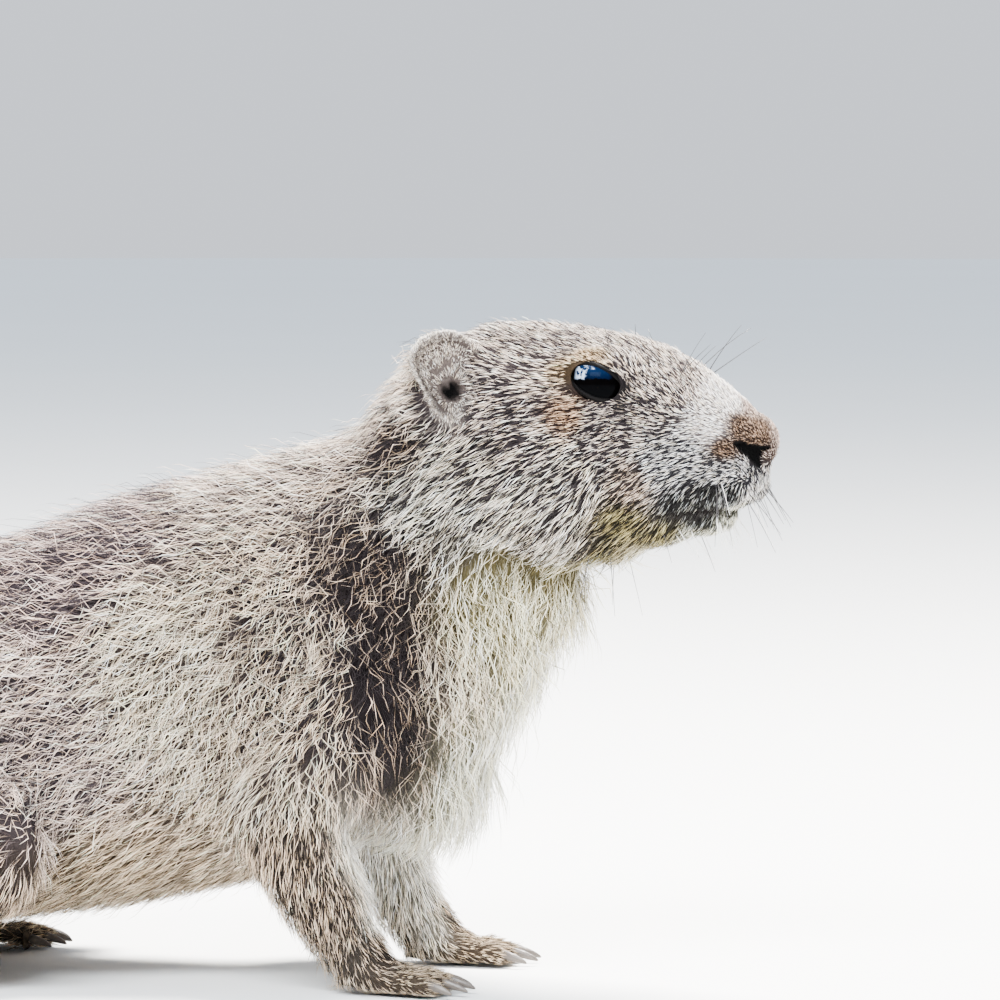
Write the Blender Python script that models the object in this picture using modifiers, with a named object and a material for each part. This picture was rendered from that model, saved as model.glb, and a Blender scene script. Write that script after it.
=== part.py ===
"""Alpine marmot, life size, crouched on its haunches with straight forelegs and its head raised.

Metres, +Z up. The marmot faces +X and its left side is +Y. The four soles stand at Z = 0.
Each part of the body is a closed solid of its own. A part that grows from another is seated in it:
the host is cut by the part grown by GAP, so the two meet face to face and never touch.
"""

import math
import random

import bmesh
import bpy
import numpy as np
from mathutils import Matrix, Vector
from mathutils.bvhtree import BVHTree

MM = 0.001
GAP = 0.3 * MM
SLIVER = 0.05 * MM
SIDES = {"left": 1, "right": -1}

# Driving sizes
HEAD_PIVOT = Vector((35, 0, 165)) * MM
HEAD_TURN = math.radians(-11)
EYE_RADIUS = 7.2 * MM
EAR_HEIGHT = 27 * MM
EAR_WIDTH = 21 * MM
CLAW_RADIUS = 1.75 * MM
TOE_RADIUS = 3.6 * MM

# Colours of the coat, the bare skin, the horn of the claws and the eye
COAT_GREY = (0.22, 0.18, 0.15)
COAT_PALE = (0.62, 0.55, 0.45)
COAT_DARK = (0.06, 0.05, 0.045)
SKIN_DARK = (0.025, 0.02, 0.018)
CLAW_HORN = (0.05, 0.04, 0.035)

for old in list(bpy.data.objects):
    bpy.data.objects.remove(old, do_unlink=True)
marmot = bpy.data.collections.new("alpine_marmot")
helpers = bpy.data.collections.new("helpers")
bpy.context.scene.collection.children.link(marmot)
bpy.context.scene.collection.children.link(helpers)


# Making, joining and cutting closed meshes

def add(name, bm, collection=helpers):
    """A mesh object from a bmesh, with its faces pointing outwards."""
    bmesh.ops.recalc_face_normals(bm, faces=bm.faces)
    mesh = bpy.data.meshes.new(name)
    bm.to_mesh(mesh)
    bm.free()
    obj = bpy.data.objects.new(name, mesh)
    collection.objects.link(obj)
    return obj


def baked(obj):
    """The object's mesh with its modifiers applied."""
    graph = bpy.context.evaluated_depsgraph_get()
    mesh = bpy.data.meshes.new_from_object(obj.evaluated_get(graph))
    obj.modifiers.clear()
    obj.data = mesh
    return obj


def remove(obj):
    bpy.data.objects.remove(obj, do_unlink=True)


def loft(name, rings, collection=helpers):
    """A closed skin through rings of equally many points. A ring of one point is a tip."""
    bm = bmesh.new()
    last = None
    for points in rings:
        verts = [bm.verts.new(p) for p in points]
        if len(verts) > 1:
            edges = [bm.edges.new((v, verts[i - 1])) for i, v in enumerate(verts)]
            if last:
                bmesh.ops.bridge_loops(bm, edges=last + edges)
            else:
                bm.faces.new(verts)
            last = edges
        else:
            for edge in last:
                bm.faces.new((*edge.verts, verts[0]))
            last = None
    if last:
        bmesh.ops.contextual_create(bm, geom=last)
    return add(name, bm, collection)


def ellipsoid(name, centre, radii, turn=None, segments=24, rings=14):
    bm = bmesh.new()
    bmesh.ops.create_uvsphere(bm, u_segments=segments, v_segments=rings, radius=1)
    turned = turn.to_matrix().to_4x4() if turn else Matrix.Identity(4)
    matrix = Matrix.Translation(centre) @ turned @ Matrix.Diagonal((*radii, 1))
    bmesh.ops.transform(bm, matrix=matrix, verts=bm.verts)
    return add(name, bm)


def tube(name, path, radii, sides=16, flat=1.0):
    """A round limb along a path, with a domed end. flat is its height over its width."""
    rings = []
    path = [Vector(p) for p in path]
    for i, (centre, radius) in enumerate(zip(path, radii)):
        along = (path[min(i + 1, len(path) - 1)] - path[max(i - 1, 0)]).normalized()
        across = along.cross(Vector((0, 0, 1)) if abs(along.z) < 0.8 else Vector((1, 0, 0)))
        across.normalize()
        up = across.cross(along)
        ring = []
        for k in range(sides):
            angle = math.tau * k / sides
            ring.append(centre + radius * (math.cos(angle) * across + flat * math.sin(angle) * up))
        rings.append(ring)
    return loft(name, rings)


def join(name, objects):
    """One object from several, whose meshes may pass through each other."""
    bm = bmesh.new()
    for obj in objects:
        bm.from_mesh(obj.data)
        remove(obj)
    return add(name, bm)


def melt(obj, voxel, smooth, faces):
    """Melts the overlapping forms of an object into one soft skin of about that many triangles."""
    remesh = obj.modifiers.new("remesh", "REMESH")
    remesh.mode = "VOXEL"
    remesh.voxel_size = voxel
    soft = obj.modifiers.new("soft", "SMOOTH")
    soft.factor = 0.5
    soft.iterations = smooth
    baked(obj)
    obj.modifiers.new("triangles", "TRIANGULATE")
    baked(obj)
    fewer = obj.modifiers.new("fewer", "DECIMATE")
    fewer.ratio = min(1.0, faces / len(obj.data.polygons))
    return baked(obj)


def keep_largest(obj):
    """Closes up slivers, and drops loose scraps and sealed hollows."""
    bm = bmesh.new()
    bm.from_mesh(obj.data)
    bmesh.ops.triangulate(bm, faces=bm.faces)
    for share in (1, 0.4, 0.15, 0.05):
        tidy = bm.copy()
        bmesh.ops.remove_doubles(tidy, verts=tidy.verts, dist=SLIVER * share)
        bmesh.ops.dissolve_degenerate(tidy, edges=tidy.edges, dist=SLIVER * share)
        if all(len(edge.link_faces) == 2 for edge in tidy.edges):
            bm.free()
            bm = tidy
            break
        tidy.free()
    left = set(bm.verts)
    pieces = []
    while left:
        start = left.pop()
        piece, front = {start}, [start]
        while front:
            for edge in front.pop().link_edges:
                for vert in edge.verts:
                    if vert in left:
                        left.discard(vert)
                        piece.add(vert)
                        front.append(vert)
        pieces.append(piece)
    largest = max(pieces, key=len)
    bmesh.ops.delete(bm, geom=[v for v in bm.verts if v not in largest], context="VERTS")
    bm.to_mesh(obj.data)
    bm.free()
    return obj


def boolean(obj, operation, others, solver="MANIFOLD"):
    """Joins others to obj, or cuts obj by them, in one Boolean, and removes them."""
    group = bpy.data.collections.new("operands")
    bpy.context.scene.collection.children.link(group)
    for other in others:
        group.objects.link(other)
    modifier = obj.modifiers.new(operation.lower(), "BOOLEAN")
    modifier.operation = operation
    modifier.operand_type = "COLLECTION"
    modifier.collection = group
    modifier.solver = solver
    baked(obj)
    for other in list(group.objects):
        remove(other)
    bpy.data.collections.remove(group)
    return keep_largest(obj)


def copy_of(obj, grow=0.0):
    """A copy, grown along its normals."""
    twin = bpy.data.objects.new(obj.name + "_copy", obj.data.copy())
    helpers.objects.link(twin)
    if grow:
        swell = twin.modifiers.new("swell", "DISPLACE")
        swell.strength = grow
        swell.mid_level = 0
        baked(twin)
    return twin


def seat(guest, host):
    """Cuts the host back from the guest, with the gap that touching parts keep."""
    return boolean(host, "DIFFERENCE", [copy_of(guest, GAP)])


def slab(name, point, normal, side, gap=GAP, reach=0.6):
    """A large block whose face lies half a gap beyond a plane, to cut away what is on that side of it."""
    normal = Vector(normal).normalized() * side
    bm = bmesh.new()
    bmesh.ops.create_cube(bm, size=reach)
    turn = normal.to_track_quat("Z", "Y").to_matrix().to_4x4()
    shift = Matrix.Translation(Vector(point) + normal * (reach / 2 - gap / 2))
    bmesh.ops.transform(bm, matrix=shift @ turn, verts=bm.verts)
    return add(name, bm)


def tree_of(obj):
    bm = bmesh.new()
    bm.from_mesh(obj.data)
    tree = BVHTree.FromBMesh(bm)
    bm.free()
    return tree


def finish(obj, name, colour, roughness=0.9):
    """Names a part of the marmot, gives it its material, and puts it in the marmot's collection."""
    for collection in list(obj.users_collection):
        collection.objects.unlink(obj)
    marmot.objects.link(obj)
    obj.name = name
    obj.data.name = name
    material = bpy.data.materials.new(name)
    material.use_nodes = True
    shader = material.node_tree.nodes["Principled BSDF"]
    shader.inputs["Base Color"].default_value = (*colour, 1)
    shader.inputs["Roughness"].default_value = roughness
    obj.data.materials.clear()
    obj.data.materials.append(material)
    obj.data.shade_smooth()
    obj.data.set_sharp_from_angle(angle=math.radians(50))
    return obj


# Trunk and neck: ovals across the body, from the rump to the throat.
# Each row is the place along X, the top and bottom of the coat, and the half width, in mm.
TRUNK_OVALS = (
    (-243, 54, 35, 7), (-238, 66, 26, 20), (-225, 82, 18, 36), (-200, 98, 12, 52),
    (-165, 111, 11, 63), (-125, 121, 12, 66), (-87, 129, 15, 64), (-50, 142, 20, 58),
    (-15, 152, 27, 51), (12, 160, 34, 46), (30, 172, 42, 42), (45, 172, 51, 38),
    (58, 160, 64, 32), (70, 146, 82, 25), (80, 134, 100, 16), (86, 125, 110, 7),
)
WIDEST_LEVEL = 0.44
OVAL_FULLNESS = 2.25


def oval(top, bottom, half_width, level=WIDEST_LEVEL, sides=28):
    """Points (y, z) of an oval that is widest at that share of its height."""
    middle = bottom + level * (top - bottom)
    points = []
    for k in range(sides):
        angle = math.tau * k / sides
        c = math.cos(angle)
        s = math.sin(angle)
        rise = (top - middle) if s > 0 else (middle - bottom)
        y = half_width * math.copysign(abs(c) ** (2 / OVAL_FULLNESS), c)
        z = middle + rise * math.copysign(abs(s) ** (2 / OVAL_FULLNESS), s)
        points.append((y, z))
    return points


# Swellings of the trunk: the centre and the half sizes of each, in mm
BLADE = ((-6, 31, 92), (44, 21, 44))
HIP = ((-180, 34, 62), (46, 26, 32))
BREAST = ((34, 0, 72), (27, 34, 34))


def swelling(form, side=1):
    """An ellipsoid from its centre and half sizes in mm, on the left or mirrored to the right."""
    (x, y, z), radii = form
    return ellipsoid("swelling", Vector((x, y * side, z)) * MM, Vector(radii) * MM)


def trunk_form():
    rings = []
    for x, top, bottom, half_width in TRUNK_OVALS:
        rings.append([Vector((x, y, z)) * MM for y, z in oval(top, bottom, half_width)])
    forms = [loft("trunk", rings)]
    for side in SIDES.values():
        forms += [swelling(BLADE, side), swelling(HIP, side)]
    forms.append(swelling(BREAST))
    return melt(join("trunk_form", forms), voxel=3 * MM, smooth=10, faces=1450)


# Head: ovals across its own long axis, and the swellings of the cheeks, brows and lips.
# Rows as for the trunk, with the place along the head's axis, in mm from the pivot at the nape.
HEAD_OVALS = (
    (-12, 4, -22, 18), (-3, 14, -34, 29), (10, 23, -41, 34), (24, 27.5, -44, 35),
    (40, 27.5, -45, 32.5), (55, 26, -44, 28.5), (67, 24, -41, 24.5), (77, 21, -38, 20.5),
    (86, 16.5, -34, 16.5), (94, 11, -28.5, 13), (100, 6.5, -25, 10), (105, 2, -21, 7),
    (107.6, -2.5, -18, 5), (109, -6, -14, 2.5),
)
EYE_CENTRE = Vector((62.2, 17.9, 10.6)) * MM
EYE_AXIS = Vector((0.22, 1, 0.10)).normalized()
EYE_OPENING = (6.7 * MM, 4.7 * MM)
NOSE_CENTRE = Vector((102.6, 0, -6.8)) * MM
NOSE_RADII = Vector((8.6, 8.6, 9.2)) * MM
NOSTRIL = Vector((106.3, 6.5, -9.6)) * MM
NOSTRIL_RADII = Vector((4.2, 2.7, 2.8)) * MM
NOSTRIL_TURN = math.radians(-38)
NOSE_GROOVE = ((110.2, 0, -13), (2.4, 0.6, 5))
LIP_GROOVE = ((107, 0, -19), (3.2, 0.6, 5))
# Rows of the mouth's line, in mm: the place along the head, the level, and how far in the cut goes
MOUTH_LINE = (
    (79, -25.6, 16), (85, -25.4, 13), (92, -24.6, 9.5), (97, -23.8, 5), (101, -22.6, 0), (110, -19, 0),
)
MOUTH_GAPE = 1.0 * MM
MOUTH_REACH = 26
# Swellings of the head: cheek, brow, bridge and upper lip on each side, and the chin
HEAD_SWELLINGS = (
    ((40, 23, -16), (27, 12, 22)),
    ((60, 15.5, 14.5), (16, 9, 7)),
    ((74, 12, 3), (18, 8.5, 11)),
    ((95.5, 8.5, -18.5), (11, 6.5, 7.5)),
)
CHIN = ((88.5, 0, -27.5), (10, 10, 6.5))


def head_place():
    return Matrix.Translation(HEAD_PIVOT) @ Matrix.Rotation(HEAD_TURN, 4, "Z")


def in_head(obj):
    obj.data.transform(head_place())
    return obj


def head_form():
    rings = []
    for x, top, bottom, half_width in HEAD_OVALS:
        rings.append([Vector((x, y, z)) * MM for y, z in oval(top, bottom, half_width, 0.5)])
    forms = [loft("head", rings)]
    for side in SIDES.values():
        forms += [swelling(form, side) for form in HEAD_SWELLINGS]
    forms.append(swelling(CHIN))
    return melt(join("head_form", forms), voxel=1.6 * MM, smooth=8, faces=1350)


def eye_turn(side):
    axis = Vector((EYE_AXIS.x, EYE_AXIS.y * side, EYE_AXIS.z))
    return axis, axis.to_track_quat("Z", "Y")


def eyeball(side):
    centre = Vector((EYE_CENTRE.x, EYE_CENTRE.y * side, EYE_CENTRE.z))
    radii = Vector((1, 1, 1)) * EYE_RADIUS
    return ellipsoid("eyeball", centre, radii, eye_turn(side)[1], 16, 10)


# Rings of the lids: how wide each is against the opening, and how far out it lies from the eye's centre
LID_RINGS = ((1.38, 3.2), (1.30, 5.6), (1.13, 6.5), (0.92, 6.2), (0.88, 3.8))
LID_POINTS = 12
LID_SLANT = -0.19
OPENING_RINGS = ((0.97, 1.0), (1.03, 12))


def almond(side, scale, outward):
    """A ring of points round the eye's opening, which slants down to its front corner."""
    axis, _ = eye_turn(side)
    forward = Vector((1, 0, 0))
    forward = (forward - forward.dot(axis) * axis).normalized()
    up = Vector((0, 0, 1))
    up = (up - up.dot(axis) * axis).normalized()
    centre = Vector((EYE_CENTRE.x, EYE_CENTRE.y * side, EYE_CENTRE.z)) + axis * outward
    points = []
    for k in range(LID_POINTS):
        angle = math.tau * k / LID_POINTS
        along = math.cos(angle) * EYE_OPENING[0] * scale
        rise = math.sin(angle) * EYE_OPENING[1] * scale
        points.append(centre + forward * along + up * (rise + LID_SLANT * along))
    return points


def lids(side):
    """The swollen rim of the two lids, round the opening."""
    return loft("lids", [almond(side, scale, outward * MM) for scale, outward in LID_RINGS])


def eye_opening(side):
    return loft("eye_opening", [almond(side, scale, outward * MM) for scale, outward in OPENING_RINGS])


def mouth_cutter():
    """The line of the mouth: a thin sheet round the muzzle, cut in a little way under the upper lip."""
    bm = bmesh.new()
    rows = []
    for x, z, inner in MOUTH_LINE:
        places = (-MOUTH_REACH, -inner, inner, MOUTH_REACH)
        row = [bm.verts.new((x * MM, y * MM, z * MM)) for y in places]
        if not inner:
            bmesh.ops.pointmerge(bm, verts=row[1:3], merge_co=row[1].co)
            row[2] = row[1]
        rows.append(row)
    for a, b in zip(rows, rows[1:]):
        for i, j in ((0, 1), (2, 3)):
            bm.faces.new((a[i], a[j], b[j], b[i]))
    sheet = add("mouth_line", bm)
    wall = sheet.modifiers.new("gape", "SOLIDIFY")
    wall.thickness = MOUTH_GAPE
    wall.offset = 0
    return baked(sheet)


def groove(form):
    """The narrow pit that parts the nose and the upper lip in the middle."""
    centre, radii = form
    return ellipsoid("groove", Vector(centre) * MM, Vector(radii) * MM, None, 6, 6)


def nose_form():
    nose = ellipsoid("nose", NOSE_CENTRE, NOSE_RADII, None, 14, 8)
    pits = []
    for side in SIDES.values():
        centre = Vector((NOSTRIL.x, NOSTRIL.y * side, NOSTRIL.z))
        turn = Matrix.Rotation(side * NOSTRIL_TURN, 3, "Z").to_quaternion()
        pits.append(ellipsoid("nostril", centre, NOSTRIL_RADII, turn, 8, 6))
    return boolean(nose, "DIFFERENCE", pits + [groove(NOSE_GROOVE)])


# Ears: a rounded cup, open outwards and forwards, cut off where it meets the head
EAR_CENTRE = Vector((20.5, 33.5, 13)) * MM
EAR_FACING = Vector((0.52, 1, 0.12)).normalized()
EAR_LEAN = math.radians(28)
EAR_DEPTH = 6 * MM
EAR_WALL = 1.7 * MM
EAR_EDGE = 2.2 * MM
# The canal: how far it lies below and behind the cup's centre, and its half sizes
CANAL_DROP = 7 * MM
CANAL_BEHIND = 2 * MM
CANAL_RADII = Vector((2.6, 3.4, 5)) * MM


def ear_form(side):
    facing = Vector((EAR_FACING.x, EAR_FACING.y * side, EAR_FACING.z)).normalized()
    up = Vector((-math.sin(EAR_LEAN), 0, math.cos(EAR_LEAN)))
    up = (up - up.dot(facing) * facing).normalized()
    across = up.cross(facing)
    frame = Matrix((across, up, facing)).transposed().to_quaternion()
    centre = Vector((EAR_CENTRE.x, EAR_CENTRE.y * side, EAR_CENTRE.z))
    half_width = EAR_WIDTH / 2
    half_height = EAR_HEIGHT / 2
    shell = ellipsoid("ear", centre, (half_width, half_height, EAR_DEPTH), frame, 16, 8)
    inner = (half_width - EAR_WALL, half_height - EAR_WALL, EAR_DEPTH)
    cup = ellipsoid("cup", centre + facing * EAR_WALL * 1.3, inner, frame, 16, 8)
    front = slab("front", centre + facing * EAR_EDGE, facing, 1, 0)
    boolean(shell, "DIFFERENCE", [cup, front])
    canal = ellipsoid("canal", centre - up * CANAL_DROP - facing * CANAL_BEHIND, CANAL_RADII, frame, 10, 6)
    return boolean(shell, "DIFFERENCE", [canal])


# Legs. Paths run down from the shoulder or hip; radii are those of the coat.
FORELEG_PATH = ((26, 36, 92), (17, 42, 72), (6, 45, 54), (9, 44, 40), (15, 43, 27), (21, 41, 15), (25, 41, 8))
FORELEG_RADII = (17, 20, 19, 17, 14, 11, 9.5)
FORELEG_ADVANCE = {"left": 5 * MM, "right": 0.0}
SHOULDER = ((16, 35, 86), (27, 16, 30))
ELBOW = ((-3, 44, 52), (14, 11, 16))
THIGH = ((-117, 57, 53), (55, 23, 37))
KNEE = ((-78, 62, 42), (19, 16, 20))
THIGH_PITCH = math.radians(10)
SHANK_PATH = ((-80, 62, 34), (-110, 62, 26), (-138, 58, 20), (-154, 56, 14), (-161, 55, 11))
SHANK_RADII = (15, 16, 14, 10.5, 5)


def mirrored(point, side, advance=0.0):
    x, y, z = point
    return Vector((x * MM + advance, y * MM * side, z * MM))


def foreleg_form(which):
    side = SIDES[which]
    advance = FORELEG_ADVANCE[which]
    path = []
    for i, point in enumerate(FORELEG_PATH):
        path.append(mirrored(point, side, advance * i / (len(FORELEG_PATH) - 1)))
    leg = tube("leg", path, [r * MM for r in FORELEG_RADII])
    elbow = swelling(ELBOW, side)
    elbow.data.transform(Matrix.Translation((advance / 2, 0, 0)))
    forms = join("foreleg_form", [leg, swelling(SHOULDER, side), elbow])
    return melt(forms, voxel=2.2 * MM, smooth=6, faces=290)


def hindleg_form(which):
    side = SIDES[which]
    centre, radii = THIGH
    pitch = Matrix.Rotation(THIGH_PITCH, 3, "Y").to_quaternion()
    thigh = ellipsoid("thigh", mirrored(centre, side), Vector(radii) * MM, pitch)
    path = [mirrored(point, side) for point in SHANK_PATH]
    shank = tube("shank", path, [r * MM for r in SHANK_RADII])
    forms = join("hindleg_form", [thigh, shank, swelling(KNEE, side)])
    return melt(forms, voxel=2.2 * MM, smooth=6, faces=290)


# Feet and claws, in mm and degrees. The heel and the roots of the toes are measured along the foot
# from the ankle, and toe rows are the toe's offset across the foot, its splay and its length.
FOREPAW = {
    "ankle": (25, 41, 11), "heel": -8, "toes_at": 14, "half_width": 12, "turn": 4,
    "claw": 10, "faces": 330,
    "toes": ((-8.0, -14, 13), (-2.8, -4, 15), (2.8, 5, 15), (8.0, 16, 12.5)),
}
HINDFOOT = {
    "ankle": (-148, 56, 13), "heel": -14, "toes_at": 44, "half_width": 13, "turn": 9,
    "claw": 8.5, "faces": 370,
    "toes": ((-10.5, -16, 13), (-5.5, -7, 16.5), (0, 0, 17.5), (5.5, 7, 16.5), (10.2, 18, 12.5)),
}
# Rings of the palm: the share of the way from the heel, the share of the width, and the half height
PALM_RINGS = ((0.0, 0.55, 5.2), (0.25, 0.8, 7.4), (0.55, 0.95, 7.0), (0.85, 1.0, 6.0), (1.0, 0.9, 4.8))
PALM_SIDES = 16
ANKLE_RADII = (9.5, 9.5, 9.5)
SOLE_FLAT = 1.2 * MM
# Levels of a toe over the sole at its root, its joint, its end and its pad, and of the claw's root
TOE_LEVELS = (4.5, 5.6, 3.8, 3.4)
TOE_GIRTH = (1, 1.08, 1, 0.6)
TOE_OVERLAP = 3 * MM
TOE_PAD = 1.6 * MM
CLAW_LEVEL = 4.9
# Rings of a claw, as shares of its length along it and down, and of its radius
CLAW_RINGS = 3
CLAW_SIDES = 5
CLAW_CURVE = 0.34
CLAW_TAPER = 0.62
CLAW_TIP_DROP = 0.30


def claw(root, along, length):
    """A curved, tapering claw that bends down to a blunt tip."""
    across = along.cross(Vector((0, 0, 1))).normalized()
    up = across.cross(along)
    down = Vector((0, 0, -1))
    rings = []
    for i in range(CLAW_RINGS):
        share = i / CLAW_RINGS
        centre = root + along * length * share + down * length * CLAW_CURVE * share * share
        radius = CLAW_RADIUS * (1 - CLAW_TAPER * share)
        ring = []
        for k in range(CLAW_SIDES):
            angle = math.tau * k / CLAW_SIDES
            ring.append(centre + radius * (0.85 * math.cos(angle) * across + 1.15 * math.sin(angle) * up))
        rings.append(ring)
    rings.append([root + along * length + down * length * CLAW_TIP_DROP])
    return loft("claw", rings)


def palm(base, forward, across, foot):
    """The foot from its heel to the roots of the toes, flattened under the sole."""
    length = (foot["toes_at"] - foot["heel"]) * MM
    rings = []
    for share, width, height in PALM_RINGS:
        level = Vector((0, 0, height * MM))
        half = across * foot["half_width"] * MM * width
        centre = base + forward * (foot["heel"] * MM + share * length) + level
        ring = []
        for k in range(PALM_SIDES):
            angle = math.tau * k / PALM_SIDES
            ring.append(centre + half * math.cos(angle) + level * math.sin(angle))
        rings.append(ring)
    return loft("palm", rings)


def foot_form(foot, side, advance=0.0):
    """A foot with its toes, and its claws. Its turn swings it outwards about the vertical."""
    ankle = mirrored(foot["ankle"], side, advance)
    swing = Matrix.Rotation(side * math.radians(foot["turn"]), 3, "Z")
    forward = swing @ Vector((1, 0, 0))
    across = swing @ Vector((0, 1, 0))
    base = Vector((ankle.x, ankle.y, -SOLE_FLAT))
    forms = [palm(base, forward, across, foot)]
    claws = []
    for offset, splay, toe_length in foot["toes"]:
        toward = Matrix.Rotation(math.radians(splay), 3, "Z") @ forward
        root = base + forward * (foot["toes_at"] * MM - TOE_OVERLAP) + across * offset * MM
        end = root + toward * toe_length * MM
        places = (root, root + toward * toe_length * MM * 0.45, end, end + toward * TOE_PAD)
        path = [place + Vector((0, 0, level * MM)) for place, level in zip(places, TOE_LEVELS)]
        forms.append(tube("toe", path, [TOE_RADIUS * share for share in TOE_GIRTH], 10))
        claw_root = end - toward * MM + Vector((0, 0, CLAW_LEVEL * MM))
        claws.append(claw(claw_root, toward, foot["claw"] * MM))
    forms.append(ellipsoid("ankle", ankle, Vector(ANKLE_RADII) * MM, None, 16, 10))
    paw = melt(join("paw_form", forms), voxel=1.1 * MM, smooth=3, faces=foot["faces"])
    boolean(paw, "DIFFERENCE", [slab("floor", (ankle.x, ankle.y, 0), (0, 0, -1), 1, 0)])
    return paw, claws


# Locks of long hair: flat, tapered, and bent along their lie.
# Rows are the place along the lock, its rise over the skin, its breadth and its depth, as shares.
LOCK_SHAPE = ((-0.12, -0.7, 0.6, 1.0), (0.28, 0.35, 1.0, 1.0), (0.66, 0.85, 0.74, 0.8))


def lock(tree, root, normal, lie, length, width, thickness, lift, hug=0.0):
    """A lock rooted under the skin, that lifts off towards its tip. Hug bends it to the skin's own curve."""
    lie = (lie - lie.dot(normal) * normal).normalized()
    rings = []
    for along, rise, breadth, depth in LOCK_SHAPE:
        place = root + lie * length * along
        near, slope, _, _ = tree.find_nearest(place)
        centre = place.lerp(near, hug)
        out = normal.lerp(slope, hug).normalized()
        centre += out * (lift * rise - thickness * 0.5 * (1 - rise))
        across = lie.cross(out).normalized() * width / 2 * breadth
        depth_vector = out * thickness / 2 * depth
        rings.append([centre - across, centre - depth_vector, centre + across, centre + depth_vector])
    place = root + lie * length
    near, slope, _, _ = tree.find_nearest(place)
    rings.append([place.lerp(near, hug) + normal.lerp(slope, hug).normalized() * lift])
    return loft("lock", rings)


# Throat and chest: rows of locks that hang from the front of the neck and of the breast.
# Each row is the middle it fans round (x, z), the slope of the fan below the horizontal and its
# half spread in degrees, the number of locks, and their length, in mm.
THROAT_ROWS = ((50, 116, 0, 64, 8, 25), (50, 105, 4, 58, 7, 24), (50, 95, 8, 48, 6, 20))
CHEST_ROWS = ((24, 76, 8, 56, 6, 22), (20, 65, 18, 60, 7, 22), (12, 53, 34, 62, 7, 22))
FRINGE_LIFT = 4.5 * MM
FRINGE_WIDTH = 11 * MM
FRINGE_THICKNESS = 2.8 * MM
FRINGE_HUG = 0.6


def fringe(host, rows, seed):
    """Rows of locks round the front of the host, hanging down and a little forwards."""
    draw = random.Random(seed)
    tree = tree_of(host)
    locks = []
    for x, z, slope, spread, count, length in rows:
        slope = math.radians(slope)
        for k in range(count):
            fan = math.radians(spread * (2 * (k + 0.5) / count - 1) + draw.uniform(-3, 3))
            ahead = Vector((math.cos(slope), 0, -math.sin(slope)))
            aim = ahead * math.cos(fan) + Vector((0, math.sin(fan), 0))
            root, normal, _, _ = tree.ray_cast(Vector((x, 0, z)) * MM + aim * 0.2, -aim)
            lie = Vector((0.1, 0.16 * math.sin(fan) + draw.uniform(-0.1, 0.1), -1))
            size = length * MM * draw.uniform(0.85, 1.1)
            lift = FRINGE_LIFT * draw.uniform(0.75, 1.1)
            shape = (size, FRINGE_WIDTH, FRINGE_THICKNESS, lift)
            locks.append(lock(tree, root, normal, lie, *shape, FRINGE_HUG))
    return boolean(host, "UNION", locks)


# Tail: a bent core with tiers of locks that lie towards its tip. The tiers stand along that span of
# the path, as shares of its points.
TAIL_PATH = ((-222, 0, 42), (-240, 2, 32), (-262, 6, 24.5), (-292, 14, 20), (-326, 24, 18), (-356, 31, 17))
TAIL_CORE = (14, 17, 18, 17, 14.5, 8)
TAIL_SPAN = (0.24, 0.98)
TAIL_TIERS = 5
TAIL_AROUND = 7
TAIL_LOCK = 42 * MM
TAIL_LOCK_WIDTH = 14 * MM
TAIL_LOCK_THICKNESS = 2.6 * MM
TAIL_LOCK_LIFT = (4.5 * MM, 7.5 * MM)


def point_on(path, share):
    """The place and the direction at that share of a path's points."""
    place = share * (len(path) - 1)
    i = min(int(place), len(path) - 2)
    a = Vector(path[i]) * MM
    b = Vector(path[i + 1]) * MM
    return a.lerp(b, place - i), (b - a).normalized()


def tail_form():
    path = [Vector(p) * MM for p in TAIL_PATH]
    core = tube("tail", path, [r * MM for r in TAIL_CORE], 16)
    core = melt(core, voxel=1.8 * MM, smooth=4, faces=260)
    tree = tree_of(core)
    draw = random.Random(11)
    locks = []
    for tier in range(TAIL_TIERS):
        share = TAIL_SPAN[0] + (TAIL_SPAN[1] - TAIL_SPAN[0]) * tier / (TAIL_TIERS - 1)
        centre, along = point_on(TAIL_PATH, share)
        last = len(TAIL_CORE) - 1
        radius = float(np.interp(share * last, range(last + 1), TAIL_CORE)) * MM
        across = along.cross(Vector((0, 0, 1))).normalized()
        up = across.cross(along)
        for k in range(TAIL_AROUND):
            angle = math.tau * (k + 0.5 * (tier % 2)) / TAIL_AROUND + draw.uniform(-0.1, 0.1)
            out = math.cos(angle) * across + math.sin(angle) * up
            length = TAIL_LOCK * draw.uniform(0.85, 1.1) * (1 - 0.25 * share)
            lift = draw.uniform(*TAIL_LOCK_LIFT) * (1 - 0.35 * share)
            root = centre + out * radius * 0.9
            locks.append(lock(tree, root, out, along, length, TAIL_LOCK_WIDTH, TAIL_LOCK_THICKNESS, lift))
    tail = boolean(core, "UNION", locks)
    return boolean(tail, "DIFFERENCE", [slab("floor", (path[-1].x, 0, 0), (0, 0, -1), 1, 0)])


# Where the trunk is parted into neck, torso and rump: a point of each cut and its direction
NECK_CUT = (Vector((8, 0, 157)) * MM, Vector((0.79, 0, 0.61)))
RUMP_CUT = (Vector((-128, 0, 0)) * MM, Vector((1, 0, 0)))


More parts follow.
